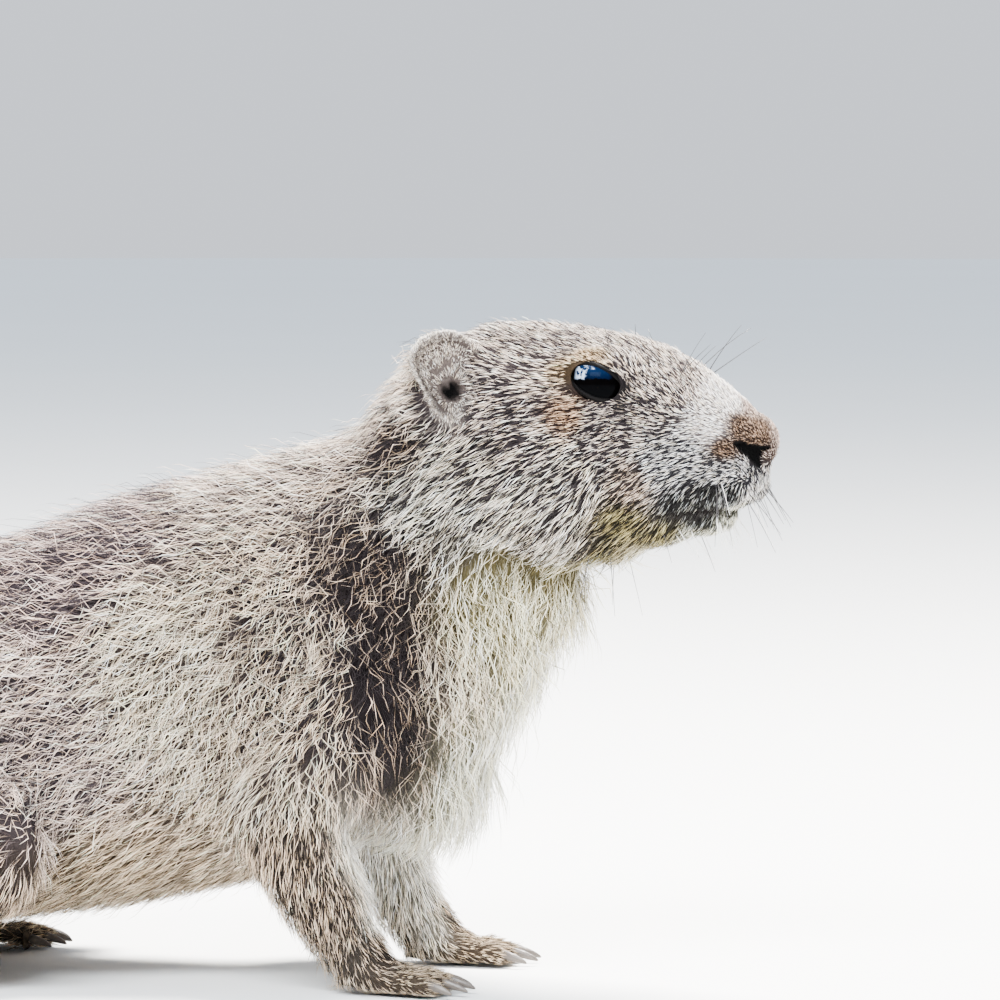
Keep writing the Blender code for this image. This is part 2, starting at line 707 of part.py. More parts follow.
def build_head(trunk):
    """The head with its lids and mouth, cut back from the eyes, the nose, the ears and the trunk."""
    head = head_form()
    boolean(head, "UNION", [lids(side) for side in SIDES.values()])
    eyes = {which: eyeball(side) for which, side in SIDES.items()}
    nose = nose_form()
    cuts = [eye_opening(side) for side in SIDES.values()]
    cuts += [copy_of(guest, GAP) for guest in (*eyes.values(), nose)]
    boolean(head, "DIFFERENCE", cuts + [groove(LIP_GROOVE), mouth_cutter()])
    ears = {}
    for which, side in SIDES.items():
        ears[which] = ear_form(side)
        seat(head, ears[which])
    for obj in [head, nose, *eyes.values(), *ears.values()]:
        in_head(obj)
    seat(head, trunk)
    for which in SIDES:
        finish(eyes[which], "eye_" + which, SKIN_DARK, 0.05)
        finish(ears[which], "ear_" + which, COAT_PALE)
    finish(nose, "nose", SKIN_DARK, 0.5)
    return head


def build_foot(name, foot, which, leg, advance=0.0):
    """A foot with its leg seated in it, and the foot seated in each of its claws."""
    paw, claws = foot_form(foot, SIDES[which], advance)
    seat(paw, leg)
    for i, one in enumerate(claws):
        seat(one, paw)
        finish(one, f"claw_{name}_{which}_{i + 1}", CLAW_HORN, 0.45)
    finish(paw, f"{name}_{which}", COAT_DARK)


def build():
    """Makes every part, seats each one in what it grows from, and names it."""
    trunk = trunk_form()
    head = build_head(trunk)
    forelegs = {}
    hindlegs = {}
    for which in SIDES:
        forelegs[which] = foreleg_form(which)
        seat(forelegs[which], trunk)
        build_foot("forepaw", FOREPAW, which, forelegs[which], FORELEG_ADVANCE[which])
        hindlegs[which] = hindleg_form(which)
        seat(hindlegs[which], trunk)
        build_foot("hindfoot", HINDFOOT, which, hindlegs[which])
    tail = tail_form()
    seat(tail, trunk)
    neck = copy_of(trunk)
    boolean(neck, "DIFFERENCE", [slab("cut", *NECK_CUT, -1)])
    torso = copy_of(trunk)
    boolean(torso, "DIFFERENCE", [slab("cut", *NECK_CUT, 1), slab("cut", *RUMP_CUT, -1)])
    rump = boolean(trunk, "DIFFERENCE", [slab("cut", *RUMP_CUT, 1)])
    fringe(torso, CHEST_ROWS, 5)
    for foreleg in forelegs.values():
        seat(foreleg, torso)
    fringe(neck, THROAT_ROWS, 3)
    seat(head, neck)
    seat(torso, neck)
    finish(head, "head", COAT_GREY)
    finish(neck, "neck", COAT_DARK)
    finish(torso, "torso", COAT_GREY)
    finish(rump, "rump", COAT_GREY)
    finish(tail, "tail", COAT_DARK)
    for which in SIDES:
        finish(forelegs[which], "foreleg_" + which, COAT_GREY)
        finish(hindlegs[which], "hindleg_" + which, COAT_GREY)


def centre_on_floor():
    """Puts the origin under the middle of the marmot's box, at the level of the soles."""
    corners = np.array([v.co for obj in marmot.objects for v in obj.data.vertices])
    middle = (corners.min(0) + corners.max(0)) / 2
    shift = Matrix.Translation((-middle[0], -middle[1], -corners[:, 2].min()))
    for obj in marmot.objects:
        obj.data.transform(shift)


build()
centre_on_floor()
helpers.hide_render = True
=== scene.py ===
"""Alpine marmot, life size, crouched on its haunches with its head raised, dressed over its solids."""
import math

import bmesh
import bpy
import numpy as np
from mathutils import Matrix, Vector
from mathutils.bvhtree import BVHTree
from mathutils.kdtree import KDTree


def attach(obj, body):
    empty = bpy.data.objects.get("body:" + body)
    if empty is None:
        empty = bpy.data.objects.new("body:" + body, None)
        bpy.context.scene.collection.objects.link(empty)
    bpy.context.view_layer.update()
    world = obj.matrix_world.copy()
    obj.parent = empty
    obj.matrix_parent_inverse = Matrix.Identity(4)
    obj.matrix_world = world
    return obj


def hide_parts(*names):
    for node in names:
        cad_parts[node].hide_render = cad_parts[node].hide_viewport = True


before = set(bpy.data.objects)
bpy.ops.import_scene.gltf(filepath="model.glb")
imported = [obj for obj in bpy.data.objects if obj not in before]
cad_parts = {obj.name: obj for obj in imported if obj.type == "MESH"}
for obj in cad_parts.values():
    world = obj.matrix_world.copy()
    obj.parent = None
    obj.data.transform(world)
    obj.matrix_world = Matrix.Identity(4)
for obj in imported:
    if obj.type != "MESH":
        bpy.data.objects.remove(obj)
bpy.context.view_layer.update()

# The hide: one skin from the nose to the tip of the tail, which every hair is rooted in. It is drawn
# over the whole form, sunk by the depth of the coat, and pressed in at the nostrils, the mouth and
# the groove under the nose. Under the long hair of the tail there is only a thin core.
MM = 0.001
WITHERS = Vector((120.82, -0.06, 0)) * MM
HEAD_PIVOT = WITHERS + Vector((35, 0, 165)) * MM
HEAD_TURN = math.radians(-11)
head_place = Matrix.Translation(HEAD_PIVOT) @ Matrix.Rotation(HEAD_TURN, 4, "Z")
SIDES = (1, -1)

# The tones of the fur: under colour, tip colour, the share of hairs with a pale tip, and how
# crinkled the hairs are
TONES = {
    "back": ((0.032, 0.024, 0.028), (0.86, 0.65, 0.59), 0.37, 0.16),
    # This tone is fur darkened as painted shade, in the dip of the neck between the cheek and the shoulder
    "neck_shade": ((0.012, 0.009, 0.010), (0.68, 0.52, 0.40), 0.15, 0.20),
    "shoulder": ((0.022, 0.017, 0.018), (0.92, 0.74, 0.58), 0.60, 0.20),
    "patch": ((0.050, 0.037, 0.032), (0.95, 0.82, 0.65), 0.78, 0.18),
    "flank": ((0.044, 0.034, 0.037), (0.89, 0.71, 0.63), 0.65, 0.16),
    "haunch": ((0.034, 0.027, 0.030), (0.70, 0.59, 0.53), 0.43, 0.10),
    "chest": ((0.290, 0.268, 0.180), (0.92, 0.91, 0.76), 0.92, 0.12),
    "throat": ((0.140, 0.116, 0.050), (0.88, 0.83, 0.61), 0.80, 0.12),
    "belly": ((0.110, 0.080, 0.052), (0.76, 0.60, 0.43), 0.64, 0.06),
    "leg": ((0.028, 0.021, 0.017), (0.78, 0.60, 0.45), 0.42, 0.07),
    "stripe": ((0.340, 0.310, 0.260), (0.93, 0.90, 0.82), 0.92, 0.04),
    "foot": ((0.070, 0.051, 0.036), (0.70, 0.55, 0.39), 0.58, 0.02),
    "nape": ((0.036, 0.028, 0.029), (0.93, 0.76, 0.65), 0.64, 0.15),
    "crown": ((0.042, 0.032, 0.033), (0.92, 0.78, 0.69), 0.44, 0.05),
    "face": ((0.024, 0.019, 0.021), (0.91, 0.77, 0.68), 0.37, 0.06),
    "ochre": ((0.046, 0.029, 0.015), (0.82, 0.60, 0.38), 0.56, 0.03),
    "rust": ((0.032, 0.018, 0.012), (0.80, 0.52, 0.34), 0.44, 0.04),
    "cheek": ((0.022, 0.018, 0.019), (0.95, 0.86, 0.75), 0.47, 0.07),
    "ruff": ((0.030, 0.026, 0.026), (0.95, 0.90, 0.80), 0.62, 0.07),
    "muzzle": ((0.022, 0.021, 0.024), (0.90, 0.88, 0.88), 0.45, 0.03),
    "tan": ((0.024, 0.018, 0.016), (0.80, 0.63, 0.51), 0.36, 0.03),
    # This tone is pale fur, painted brighter still as the highlight that the light from above makes on top of
    # the muzzle
    "bridge_highlight": ((0.180, 0.152, 0.148), (0.93, 0.88, 0.86), 0.80, 0.02),
    "nose": ((0.022, 0.012, 0.007), (0.35, 0.23, 0.16), 0.33, 0.02),
    "nose top": ((0.070, 0.047, 0.038), (0.62, 0.48, 0.42), 0.48, 0.02),
    # This tone is dark lip fur, darkened further as painted shade along the mouth
    "lip": ((0.005, 0.005, 0.005), (0.28, 0.30, 0.30), 0.17, 0.03),
    "chin": ((0.045, 0.045, 0.030), (0.86, 0.87, 0.74), 0.50, 0.03),
    # This tone is olive fur, darkened as painted shade under the jaw
    "shaded_jaw": ((0.012, 0.010, 0.004), (0.34, 0.29, 0.13), 0.36, 0.04),
    "ear": ((0.150, 0.118, 0.106), (0.92, 0.82, 0.73), 0.58, 0.03),
    "rim": ((0.200, 0.170, 0.155), (0.93, 0.87, 0.80), 0.80, 0.02),
    "socket": ((0.010, 0.009, 0.009), (0.22, 0.18, 0.15), 0.35, 0.02),
    "tail": ((0.030, 0.021, 0.016), (0.24, 0.16, 0.11), 0.35, 0.05),
    "tail tip": ((0.009, 0.007, 0.006), (0.045, 0.034, 0.027), 0.25, 0.05),
}

# How the coat grows: a place on the hide, measured from the withers in mm, the lie of its hair, its
# length, the depth of the coat, how far that holds, and its tone. The hair is short and close on the
# face and feet, long on the chest and tail, and everywhere it lies away from the nose.
BODY_HAIR = (
    ((10, 0, 170), (-1, 0, -0.45), 12, 4.5, 26, "nape"),
    ((-15, 20, 150), (-1, 0, -0.45), 13, 5, 26, "nape"),
    ((-50, 0, 142), (-1, 0, -0.25), 15, 5, 34, "back"),
    ((-55, 35, 128), (-1, 0, -0.35), 15, 5, 30, "back"),
    ((-120, 0, 122), (-1, 0, -0.15), 16, 5, 44, "back"),
    ((-120, 45, 105), (-1, 0, -0.3), 16, 5.5, 40, "flank"),
    ((-190, 0, 102), (-1, 0, -0.35), 17, 5, 40, "back"),
    ((-200, 42, 75), (-1, 0, -0.6), 16, 5, 34, "flank"),
    ((-236, 0, 55), (-0.6, 0, -0.8), 14, 4.5, 24, "back"),
    ((-80, 66, 85), (-1, 0, -0.35), 15, 5.5, 30, "flank"),
    ((-60, 60, 60), (-1, 0, -0.35), 15, 5.5, 30, "flank"),
    ((-50, 50, 30), (-1, 0, -0.3), 13, 5, 30, "belly"),
    ((-100, 0, 12), (-1, 0, 0), 11, 4, 60, "belly"),
    ((-200, 0, 14), (-1, 0, 0.15), 11, 4, 50, "belly"),
    ((0, 0, 30), (-1, 0, -0.1), 12, 4.5, 26, "belly"),
    ((-30, 54, 110), (-0.9, 0, -0.6), 14, 5, 20, "patch"),
    ((-28, 56, 88), (-0.7, 0, -0.8), 14, 5, 18, "patch"),
    ((-20, 58, 66), (-0.5, 0, -0.9), 13, 5, 14, "patch"),
    ((-2, 50, 128), (-0.9, 0, -0.6), 12, 4.5, 19, "shoulder"),
    ((14, 50, 104), (-0.5, 0, -1), 12, 4.5, 17, "shoulder"),
    ((8, 54, 82), (-0.3, 0, -1), 12, 4.5, 17, "shoulder"),
    # Fur darkened as painted shade, where the neck meets the shoulder
    ((30, 44, 124), (-0.55, 0, -1), 12, 4.5, 18, "neck_shade"),
    ((35, 44, 96), (-0.15, 0, -1), 13, 4.5, 18, "neck_shade"),
    ((34, 40, 74), (0.05, 0, -1), 15, 5.5, 16, "neck_shade"),
    ((62, 26, 112), (0.1, 0, -1), 16, 5.5, 14, "throat"),
    ((52, 35, 96), (0.12, 0, -1), 17, 6, 12, "patch"),
    ((82, 0, 116), (0.45, 0, -1), 20, 6, 18, "throat"),
    ((72, 0, 96), (0.40, 0, -1), 24, 7.5, 18, "chest"),
    ((62, 0, 78), (0.22, 0, -1), 25, 8, 18, "chest"),
    ((56, 20, 66), (0.16, 0.05, -1), 23, 7, 13, "chest"),
    ((54, 0, 58), (-0.15, 0, -1), 20, 6, 14, "chest"),
    ((42, 0, 42), (-0.7, 0, -0.8), 16, 5, 14, "chest"),
    ((24, 0, 36), (-1, 0, -0.3), 13, 4.5, 18, "stripe"),
    ((2, 62, 62), (-0.1, 0, -1), 11, 4, 15, "patch"),
    ((5, 62, 45), (0, 0, -1), 9, 3.5, 15, "leg"),
    ((16, 56, 26), (0.1, 0, -1), 7, 2.5, 14, "leg"),
    ((31, 40, 46), (0.1, 0, -1), 13, 4.0, 14, "stripe"),
    ((34, 38, 28), (0.1, 0, -1), 10, 2.8, 12, "stripe"),
    ((34, 33, 14), (0.2, 0, -1), 6, 1.6, 8, "stripe"),
    ((12, 28, 34), (0, 0, -1), 8, 2.5, 14, "stripe"),
    ((33, 41, 14), (0.5, 0, -0.7), 5, 1.4, 10, "leg"),
    ((44, 41, 7), (1, 0, -0.15), 3.5, 0.8, 13, "foot"),
    ((-118, 80, 60), (-0.8, 0, -0.6), 14, 5, 28, "haunch"),
    ((-80, 76, 60), (-0.5, 0, -0.9), 12, 4.5, 18, "haunch"),
    ((-150, 74, 40), (-0.9, 0, -0.5), 13, 4.5, 20, "haunch"),
    ((-72, 66, 30), (-0.5, 0, -0.8), 9, 3, 16, "leg"),
    ((-115, 74, 18), (-1, 0, -0.25), 9, 3, 18, "leg"),
    ((-150, 62, 14), (0.1, 0, -1), 6, 1.8, 12, "leg"),
    ((-122, 62, 8), (1, 0, -0.1), 4, 0.9, 16, "foot"),
    ((-96, 66, 6), (1, 0, -0.15), 3.5, 0.8, 14, "foot"),
    ((-245, 3, 30), (-0.9, 0.1, -0.4), 26, 7, 20, "tail"),
    ((-285, 12, 20), (-1, 0.22, -0.1), 34, 9, 30, "tail"),
    ((-335, 26, 17), (-1, 0.24, 0), 30, 8, 26, "tail tip"),
)

# The same on the head, measured from the nape before the head is turned
HEAD_HAIR = (
    ((110, 0, -4), (-0.5, 0, 0.9), 1.3, 0.5, 5, "nose top"),
    ((108, 5, -3), (-0.7, 0, 0.8), 1.3, 0.5, 5, "nose"),
    ((103, 7.5, -2), (-0.8, 0, 0.5), 1.3, 0.5, 5, "nose"),
    ((98, 10, -8), (-0.9, 0, 0.1), 1.5, 0.5, 4.5, "nose"),
    ((104, 9, -15), (-0.9, 0, 0.1), 1.5, 0.5, 3, "muzzle"),
    ((104, 0, 3), (-0.9, 0, 0.4), 1.5, 0.5, 6, "nose top"),
    # Pale fur with a painted highlight, on top of the muzzle
    ((99, 5, 5), (-0.9, 0, 0.4), 1.8, 0.5, 5, "bridge_highlight"),
    ((95, 6, 10), (-1, 0, 0.3), 2.2, 0.6, 8, "bridge_highlight"),
    ((95, 13, -2), (-1, 0, 0.1), 2.6, 0.7, 7, "bridge_highlight"),
    ((90, 16, -10), (-0.95, 0, -0.2), 3.2, 0.8, 8, "muzzle"),
    ((82, 19, -14), (-0.95, 0, -0.3), 3.8, 1.0, 9, "muzzle"),
    ((98, 12, -15), (-0.7, 0, -0.5), 2.6, 0.7, 5, "muzzle"),
    ((106, 5, -19), (-0.3, 0, -0.8), 2.6, 0.8, 5, "muzzle"),
    ((97, 12, -21), (-0.4, 0, -0.9), 3.0, 0.8, 6.5, "lip"),
    ((86, 16, -23), (-0.6, 0, -0.8), 3.4, 0.9, 6, "lip"),
    ((97, 4, -27), (-0.1, 0, -1), 3.4, 1.0, 5, "chin"),
    ((92, 9, -28), (-0.5, 0, -0.8), 3.2, 1.0, 5, "lip"),
    ((90, 4, -33), (-0.6, 0, -0.7), 4.0, 1.2, 6, "chin"),
    # Olive fur darkened as painted shade under the jaw
    ((82, 12, -34), (-0.6, 0, -0.8), 5.0, 1.4, 6, "shaded_jaw"),
    ((72, 19, -29), (-0.85, 0, -0.5), 5.0, 1.5, 7, "shaded_jaw"),
    ((62, 12, -41), (-0.75, 0, -0.7), 8, 2.5, 8, "shaded_jaw"),
    ((76, 18, -16), (-0.9, 0, -0.4), 4.2, 1.2, 8, "tan"),
    ((88, 9, 13), (-1, 0, 0.35), 3.0, 0.9, 9, "crown"),
    ((80, 13, 6), (-0.85, 0, 0.55), 3.2, 0.9, 8, "face"),
    ((74, 15, 0), (-0.95, 0, 0.1), 3.6, 1.0, 8, "face"),
    ((72, 15, 15), (-0.75, 0, 0.65), 3.2, 0.9, 6, "face"),
    ((76, 0, 22), (-1, 0, 0.1), 3.8, 1.1, 12, "crown"),
    ((62, 12, 24), (-1, 0, 0.1), 4.2, 1.2, 9, "crown"),
    ((62, 20, 18.5), (-0.9, 0, 0.25), 2.6, 0.6, 5, "ochre"),
    ((54, 24, 15), (-1, 0, -0.15), 3.2, 0.8, 4, "ochre"),
    ((70, 18, 8), (-0.6, 0, 0.7), 2.2, 0.5, 4, "socket"),
    ((71, 19, 3), (-0.9, 0, -0.1), 2.0, 0.5, 3, "socket"),
    ((66, 22, 2.5), (-1, 0, -0.25), 3.0, 0.8, 4, "face"),
    ((57, 27, 1), (-1, 0, -0.3), 3.8, 1.1, 6, "rust"),
    ((66, 22, -5), (-0.95, 0, -0.3), 4.0, 1.2, 8, "face"),
    ((44, 27, 20), (-1, 0, -0.05), 5.0, 1.4, 10, "crown"),
    ((40, 0, 28), (-1, 0, 0), 5.5, 1.6, 20, "crown"),
    ((34, 33, 6), (-1, 0, -0.35), 5.5, 1.7, 10, "face"),
    ((48, 33, -5), (-0.9, 0, -0.45), 5.5, 1.7, 10, "face"),
    ((58, 28, -15), (-0.85, 0, -0.5), 6.0, 2.0, 10, "cheek"),
    ((44, 35, -20), (-0.8, 0, -0.6), 8.0, 2.6, 12, "cheek"),
    ((28, 37, -12), (-0.85, 0, -0.55), 9.0, 3.0, 12, "cheek"),
    ((16, 36, -20), (-0.8, 0, -0.65), 12, 4.5, 12, "ruff"),
    ((30, 33, -36), (-0.75, 0, -0.75), 11, 4.0, 12, "ruff"),
    ((52, 20, -40), (-0.75, 0, -0.7), 9.0, 3.0, 12, "cheek"),
    ((40, 0, -46), (-0.6, 0, -0.8), 12, 4.0, 16, "throat"),
    ((5, 24, 12), (-0.95, 0, -0.35), 9.0, 3.0, 14, "nape"),
    ((6, 0, 21), (-0.95, 0, -0.3), 10, 3.2, 16, "nape"),
    # Fur darkened as painted shade behind the cheek
    ((6, 33, -6), (-0.85, 0, -0.55), 10, 3.5, 9, "neck_shade"),
)


def hair_rows():
    """Every row for both sides of the body, with those of the head turned as the head is."""
    places, values, reach = [], [], []
    turn = head_place.to_3x3()
    for rows, is_head in ((BODY_HAIR, False), (HEAD_HAIR, True)):
        for place, lie, length, depth, hold, tone in rows:
            for side in SIDES if place[1] else (1,):
                where = Vector((place[0], place[1] * side, place[2])) * MM
                way = Vector((lie[0], lie[1] * side, lie[2])).normalized()
                where = head_place @ where if is_head else WITHERS + where
                way = turn @ way if is_head else way
                under, tip, share, crinkle = TONES[tone]
                places.append(where)
                reach.append(hold * MM)
                values.append((*way, length * MM, depth * MM, *under, *tip, share, crinkle))
    return np.array(places), np.array(values), np.array(reach)


row_places, row_values, row_reach = hair_rows()
COMB_BATCH = 20000
COMB_SOFTNESS = 0.03


def comb(points):
    """The coat at places on the hide, blended from the rows near them."""
    found = np.zeros((len(points), row_values.shape[1]))
    for start in range(0, len(points), COMB_BATCH):
        part = points[start:start + COMB_BATCH]
        gap = ((part[:, None] - row_places) ** 2).sum(2) / row_reach ** 2
        weight = (gap + COMB_SOFTNESS) ** -3
        found[start:start + COMB_BATCH] = (weight / weight.sum(1, keepdims=True)) @ row_values
    return {
        "lie": found[:, 0:3], "length": found[:, 3], "depth": found[:, 4],
        "under": found[:, 5:8], "tip": found[:, 8:11], "share": found[:, 11], "crinkle": found[:, 12],
    }


# The form under the hair. The ovals of the trunk are: how far forward, top, bottom, half width.
TAIL_PATH = ((-222, 0, 42), (-240, 2, 32), (-262, 6, 24.5), (-292, 14, 20), (-326, 24, 18), (-350, 30, 17))
TAIL_CORE = (15, 15, 14, 12, 9, 4)
TAIL_SIDES = 16
HIDE_GRAIN = 0.9 * MM
HIDE_FACES = 180000
SOLIDS_SWELL = 0.35 * MM
OVAL_POINTS = 40
OVAL_MIDDLE = 0.44
OVAL_FULLNESS = 0.89
TRUNK_OVALS = (
    (-243, 54, 35, 7), (-238, 66, 26, 20), (-225, 82, 18, 36), (-200, 98, 12, 52),
    (-165, 111, 11, 63), (-125, 121, 12, 66), (-87, 129, 15, 64), (-50, 142, 20, 58),
    (-15, 152, 27, 51), (12, 160, 34, 46), (30, 172, 42, 42), (45, 172, 51, 38),
    (58, 160, 64, 32), (70, 146, 82, 25), (80, 134, 100, 16), (86, 125, 110, 7),
)
TRUNK_SWELLINGS = (
    ((-6, 31, 92), (44, 21, 44)), ((-180, 34, 62), (46, 26, 32)), ((34, 0, 72), (27, 34, 34)),
)
EAR_CENTRE = Vector((20.5, 33.5, 13)) * MM
EAR_FACING = Vector((0.52, 1, 0.12)).normalized()
EAR_CANAL = (2.9, -4.4)
# The rim of the ear, forwards and up from its middle
EAR_RIM = (
    (10.4, 5.6), (6.6, 10.6), (1.8, 12.6), (-3.4, 11.9), (-7.8, 9.2), (-10.3, 5.2), (-9.2, 1.2),
    (-6.6, -2.6), (-4.4, -6.4), (-1.4, -10.2), (2.8, -12.8), (7.4, -11.8), (10.8, -8.2),
    (12.0, -3.4), (12.0, 1.4),
)
# From inside the head round the back of the ear, over its rim and down its inner side to the canal:
# how far out from the canal, as a share of the rim, and how far along the way that the ear faces
EAR_STEPS = (
    (0.50, -9.0), (0.78, -5.6), (0.92, -2.8), (0.98, -0.4), (1.00, 1.5), (0.98, 2.7), (0.92, 3.0),
    (0.85, 2.0), (0.79, 0.0), (0.65, -2.2), (0.47, -3.6), (0.34, -4.8), (0.24, -9.5),
)
EAR_RIM_STEPS = (3, 7)
# The steps under the rim, whose hair is painted darker as the shade that falls under it
EAR_SHADED_STEPS = (7, 8)
EAR_LOBE = (2.6, -5.2)
EAR_FLARE = 0.18
EAR_FRONT_SINK = 0.30
EAR_REACH = 28 * MM
NOSTRIL_LINE = ((102.4, 8.7, -7.2), (105.0, 7.7, -8.5), (107.4, 6.2, -9.8), (109.2, 4.6, -10.9))
NOSTRIL_FACING = Vector((0.72, 0.68, -0.12)).normalized()
NOSTRIL_REACH = 9 * MM
NO_LINE = 1.0
MOUTH_LINE = ((79, 17, -26.4), (85, 14, -26.2), (92, 12, -25.6), (97, 9, -25.2), (101, 5, -25.4))
GROOVE_LINE = ((110, 0, -14), (108, 0, -18), (105, 0, -22))
NOSTRIL_DEPTH = 3.0 * MM
MOUTH_DEPTH = 0.5 * MM
GROOVE_DEPTH = 0.7 * MM
CANAL_DEPTH = 3.2 * MM
# The solids whose forms are drawn anew, without their locks
REDRAWN = ("tail", "neck", "torso", "rump", "ear")
flesh = [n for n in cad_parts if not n.startswith(("claw", "eye"))]


def sleeve(bm, rings, looped=False):
    """Draws a skin over rings of equally many points, and closes its ends, or joins them to a loop."""
    made, first, last = [], None, None
    for points in rings:
        hoop = bmesh.ops.create_circle(bm, segments=len(points), radius=1)["verts"]
        for vert, place in zip(hoop, points):
            vert.co = place
        made += hoop
        edges = list({edge for vert in hoop for edge in vert.link_edges})
        if last:
            bmesh.ops.bridge_loops(bm, edges=last + edges)
        elif not looped:
            bmesh.ops.contextual_create(bm, geom=edges)
        first = first or edges
        last = edges
    if looped:
        bmesh.ops.bridge_loops(bm, edges=last + first)
    else:
        bmesh.ops.contextual_create(bm, geom=last)
    bmesh.ops.recalc_face_normals(bm, faces=bm.faces)
    return made


def hoop_round(centre, along, radius, sides):
    """The points of a circle across a way."""
    turn = along.to_track_quat("Z", "Y")
    points = []
    for k in range(sides):
        angle = math.tau * k / sides
        points.append(centre + turn @ Vector((math.cos(angle), math.sin(angle), 0)) * radius)
    return points


def apply_all(obj):
    """Puts what the object's modifiers make into its mesh."""
    graph = bpy.context.evaluated_depsgraph_get()
    mesh = bpy.data.meshes.new_from_object(obj.evaluated_get(graph))
    obj.modifiers.clear()
    obj.data = mesh


def mesh_from(bm, name):
    """Hands the shape over to a mesh of that name."""
    mesh = bpy.data.meshes.new(name)
    bm.to_mesh(mesh)
    bm.free()
    return mesh


def set_out(name, mesh):
    """A new object of the scene, at the origin."""
    mesh.shade_smooth()
    piece = bpy.data.objects.new(name, mesh)
    bpy.context.scene.collection.objects.link(piece)
    return piece


def oval(top, bottom, half_width):
    """Points (y, z) round the trunk, which is widest a little below the middle of its height."""
    middle = bottom + OVAL_MIDDLE * (top - bottom)
    points = []
    for k in range(OVAL_POINTS):
        c, s = math.cos(math.tau * k / OVAL_POINTS), math.sin(math.tau * k / OVAL_POINTS)
        rise = top - middle if s > 0 else middle - bottom
        across = half_width * math.copysign(abs(c) ** OVAL_FULLNESS, c)
        points.append((across, middle + rise * math.copysign(abs(s) ** OVAL_FULLNESS, s)))
    return points


def swelling(bm, centre, radii):
    """A rounded swelling of the trunk."""
    made = bmesh.ops.create_uvsphere(bm, u_segments=32, v_segments=20, radius=1)["verts"]
    matrix = Matrix.Translation(WITHERS + Vector(centre) * MM) @ Matrix.Diagonal((*(Vector(radii) * MM), 1))
    bmesh.ops.transform(bm, matrix=matrix, verts=made)


def trunk_form(bm):
    """The trunk and neck under their hair, without the locks that hang from the solids."""
    rings = []
    for x, top, bottom, half_width in TRUNK_OVALS:
        rings.append([WITHERS + Vector((x, y, z)) * MM for y, z in oval(top, bottom, half_width)])
    sleeve(bm, rings)
    for centre, radii in TRUNK_SWELLINGS:
        for side in SIDES if centre[1] else (1,):
            swelling(bm, (centre[0], centre[1] * side, centre[2]), radii)


def ear_place(side, forwards, up, out):
    """A place measured from the middle of an ear, in mm: forwards, up and out of its cup."""
    facing = EAR_FACING
    ahead = (Vector((1, 0, 0)) - facing.x * facing).normalized()
    above = ahead.cross(facing)
    above = above if above.z > 0 else -above
    place = EAR_CENTRE + (ahead * forwards + above * up + facing * out) * MM
    return head_place @ Vector((place.x, place.y * side, place.z))


def ear_ring(side, scale, out):
    """A ring of an ear: its rim drawn in towards the canal, and set out along the way it faces."""
    ring = []
    for i in range(len(EAR_RIM) * 2):
        a = Vector(EAR_RIM[i // 2])
        b = Vector(EAR_RIM[(i // 2 + i % 2) % len(EAR_RIM)])
        at = Vector(EAR_CANAL) + (a.lerp(b, 0.5) - Vector(EAR_CANAL)) * scale
        flare = EAR_FLARE * (scale - 0.3) * (at.y - at.x) - EAR_FRONT_SINK * max(at.x - 3, 0)
        ring.append(ear_place(side, at.x, at.y, out + flare))
    return ring


def body_form():
    """Welded copies of the solids, swollen a little so that they melt into one another, and the
    trunk, tail and ears drawn anew without their locks."""
    whole = bmesh.new()
    for name in flesh:
        if name.startswith(REDRAWN):
            continue
        bm = bmesh.new()
        bm.from_mesh(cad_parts[name].data)
        bmesh.ops.remove_doubles(bm, verts=bm.verts, dist=0.01 * MM)
        bm.normal_update()
        for vert in bm.verts:
            vert.co += vert.normal * SOLIDS_SWELL
        whole.from_mesh(mesh_from(bm, "copy"))
    bm = bmesh.new()
    path = [WITHERS + Vector(p) * MM for p in TAIL_PATH]
    ways = [(path[min(i + 1, 5)] - path[max(i - 1, 0)]).normalized() for i in range(6)]
    sleeve(bm, [hoop_round(p, w, r * MM, TAIL_SIDES) for p, w, r in zip(path, ways, TAIL_CORE)])
    trunk_form(bm)
    for side in SIDES:
        sleeve(bm, [ear_ring(side, scale, out) for scale, out in EAR_STEPS])
    whole.from_mesh(mesh_from(bm, "copy"))
    return set_out("hide", mesh_from(whole, "hide"))


def places_of(mesh):
    """A mesh's points, as an array."""
    flat = np.empty(len(mesh.vertices) * 3)
    mesh.vertices.foreach_get("co", flat)
    return flat.reshape(-1, 3)


def normals_of(mesh):
    """The ways that a mesh faces at its points."""
    flat = np.empty(len(mesh.vertices) * 3)
    mesh.vertex_normals.foreach_get("vector", flat)
    return flat.reshape(-1, 3)


def in_head(points):
    """The same places measured from the nape along the head, with the right side folded onto the left."""
    back = np.array(head_place.inverted())
    local = points @ back[:3, :3].T + back[:3, 3]
    return local, np.abs(local[:, 1])


def from_line(local, line, axes=(0, 1, 2)):
    """How far places are from a line of points, and how far along it their nearest points are."""
    line = np.array(line)[:, axes] * MM
    spots = local[:, axes]
    best = np.full(len(spots), NO_LINE)
    share = np.zeros(len(spots))
    for i, (a, b) in enumerate(zip(line, line[1:])):
        step = b - a
        t = np.clip(((spots - a) @ step) / (step @ step), 0, 1)
        gap = np.linalg.norm(spots - a - t[:, None] * step, axis=1)
        nearer = gap < best
        best[nearer] = gap[nearer]
        share[nearer] = (i + t[nearer]) / (len(line) - 1)
    return best, share


def ease(value, low, high):
    """0 below low, 1 above high, and a smooth rise between."""
    t = np.clip((value - low) / (high - low), 0, 1)
    return t * t * (3 - 2 * t)


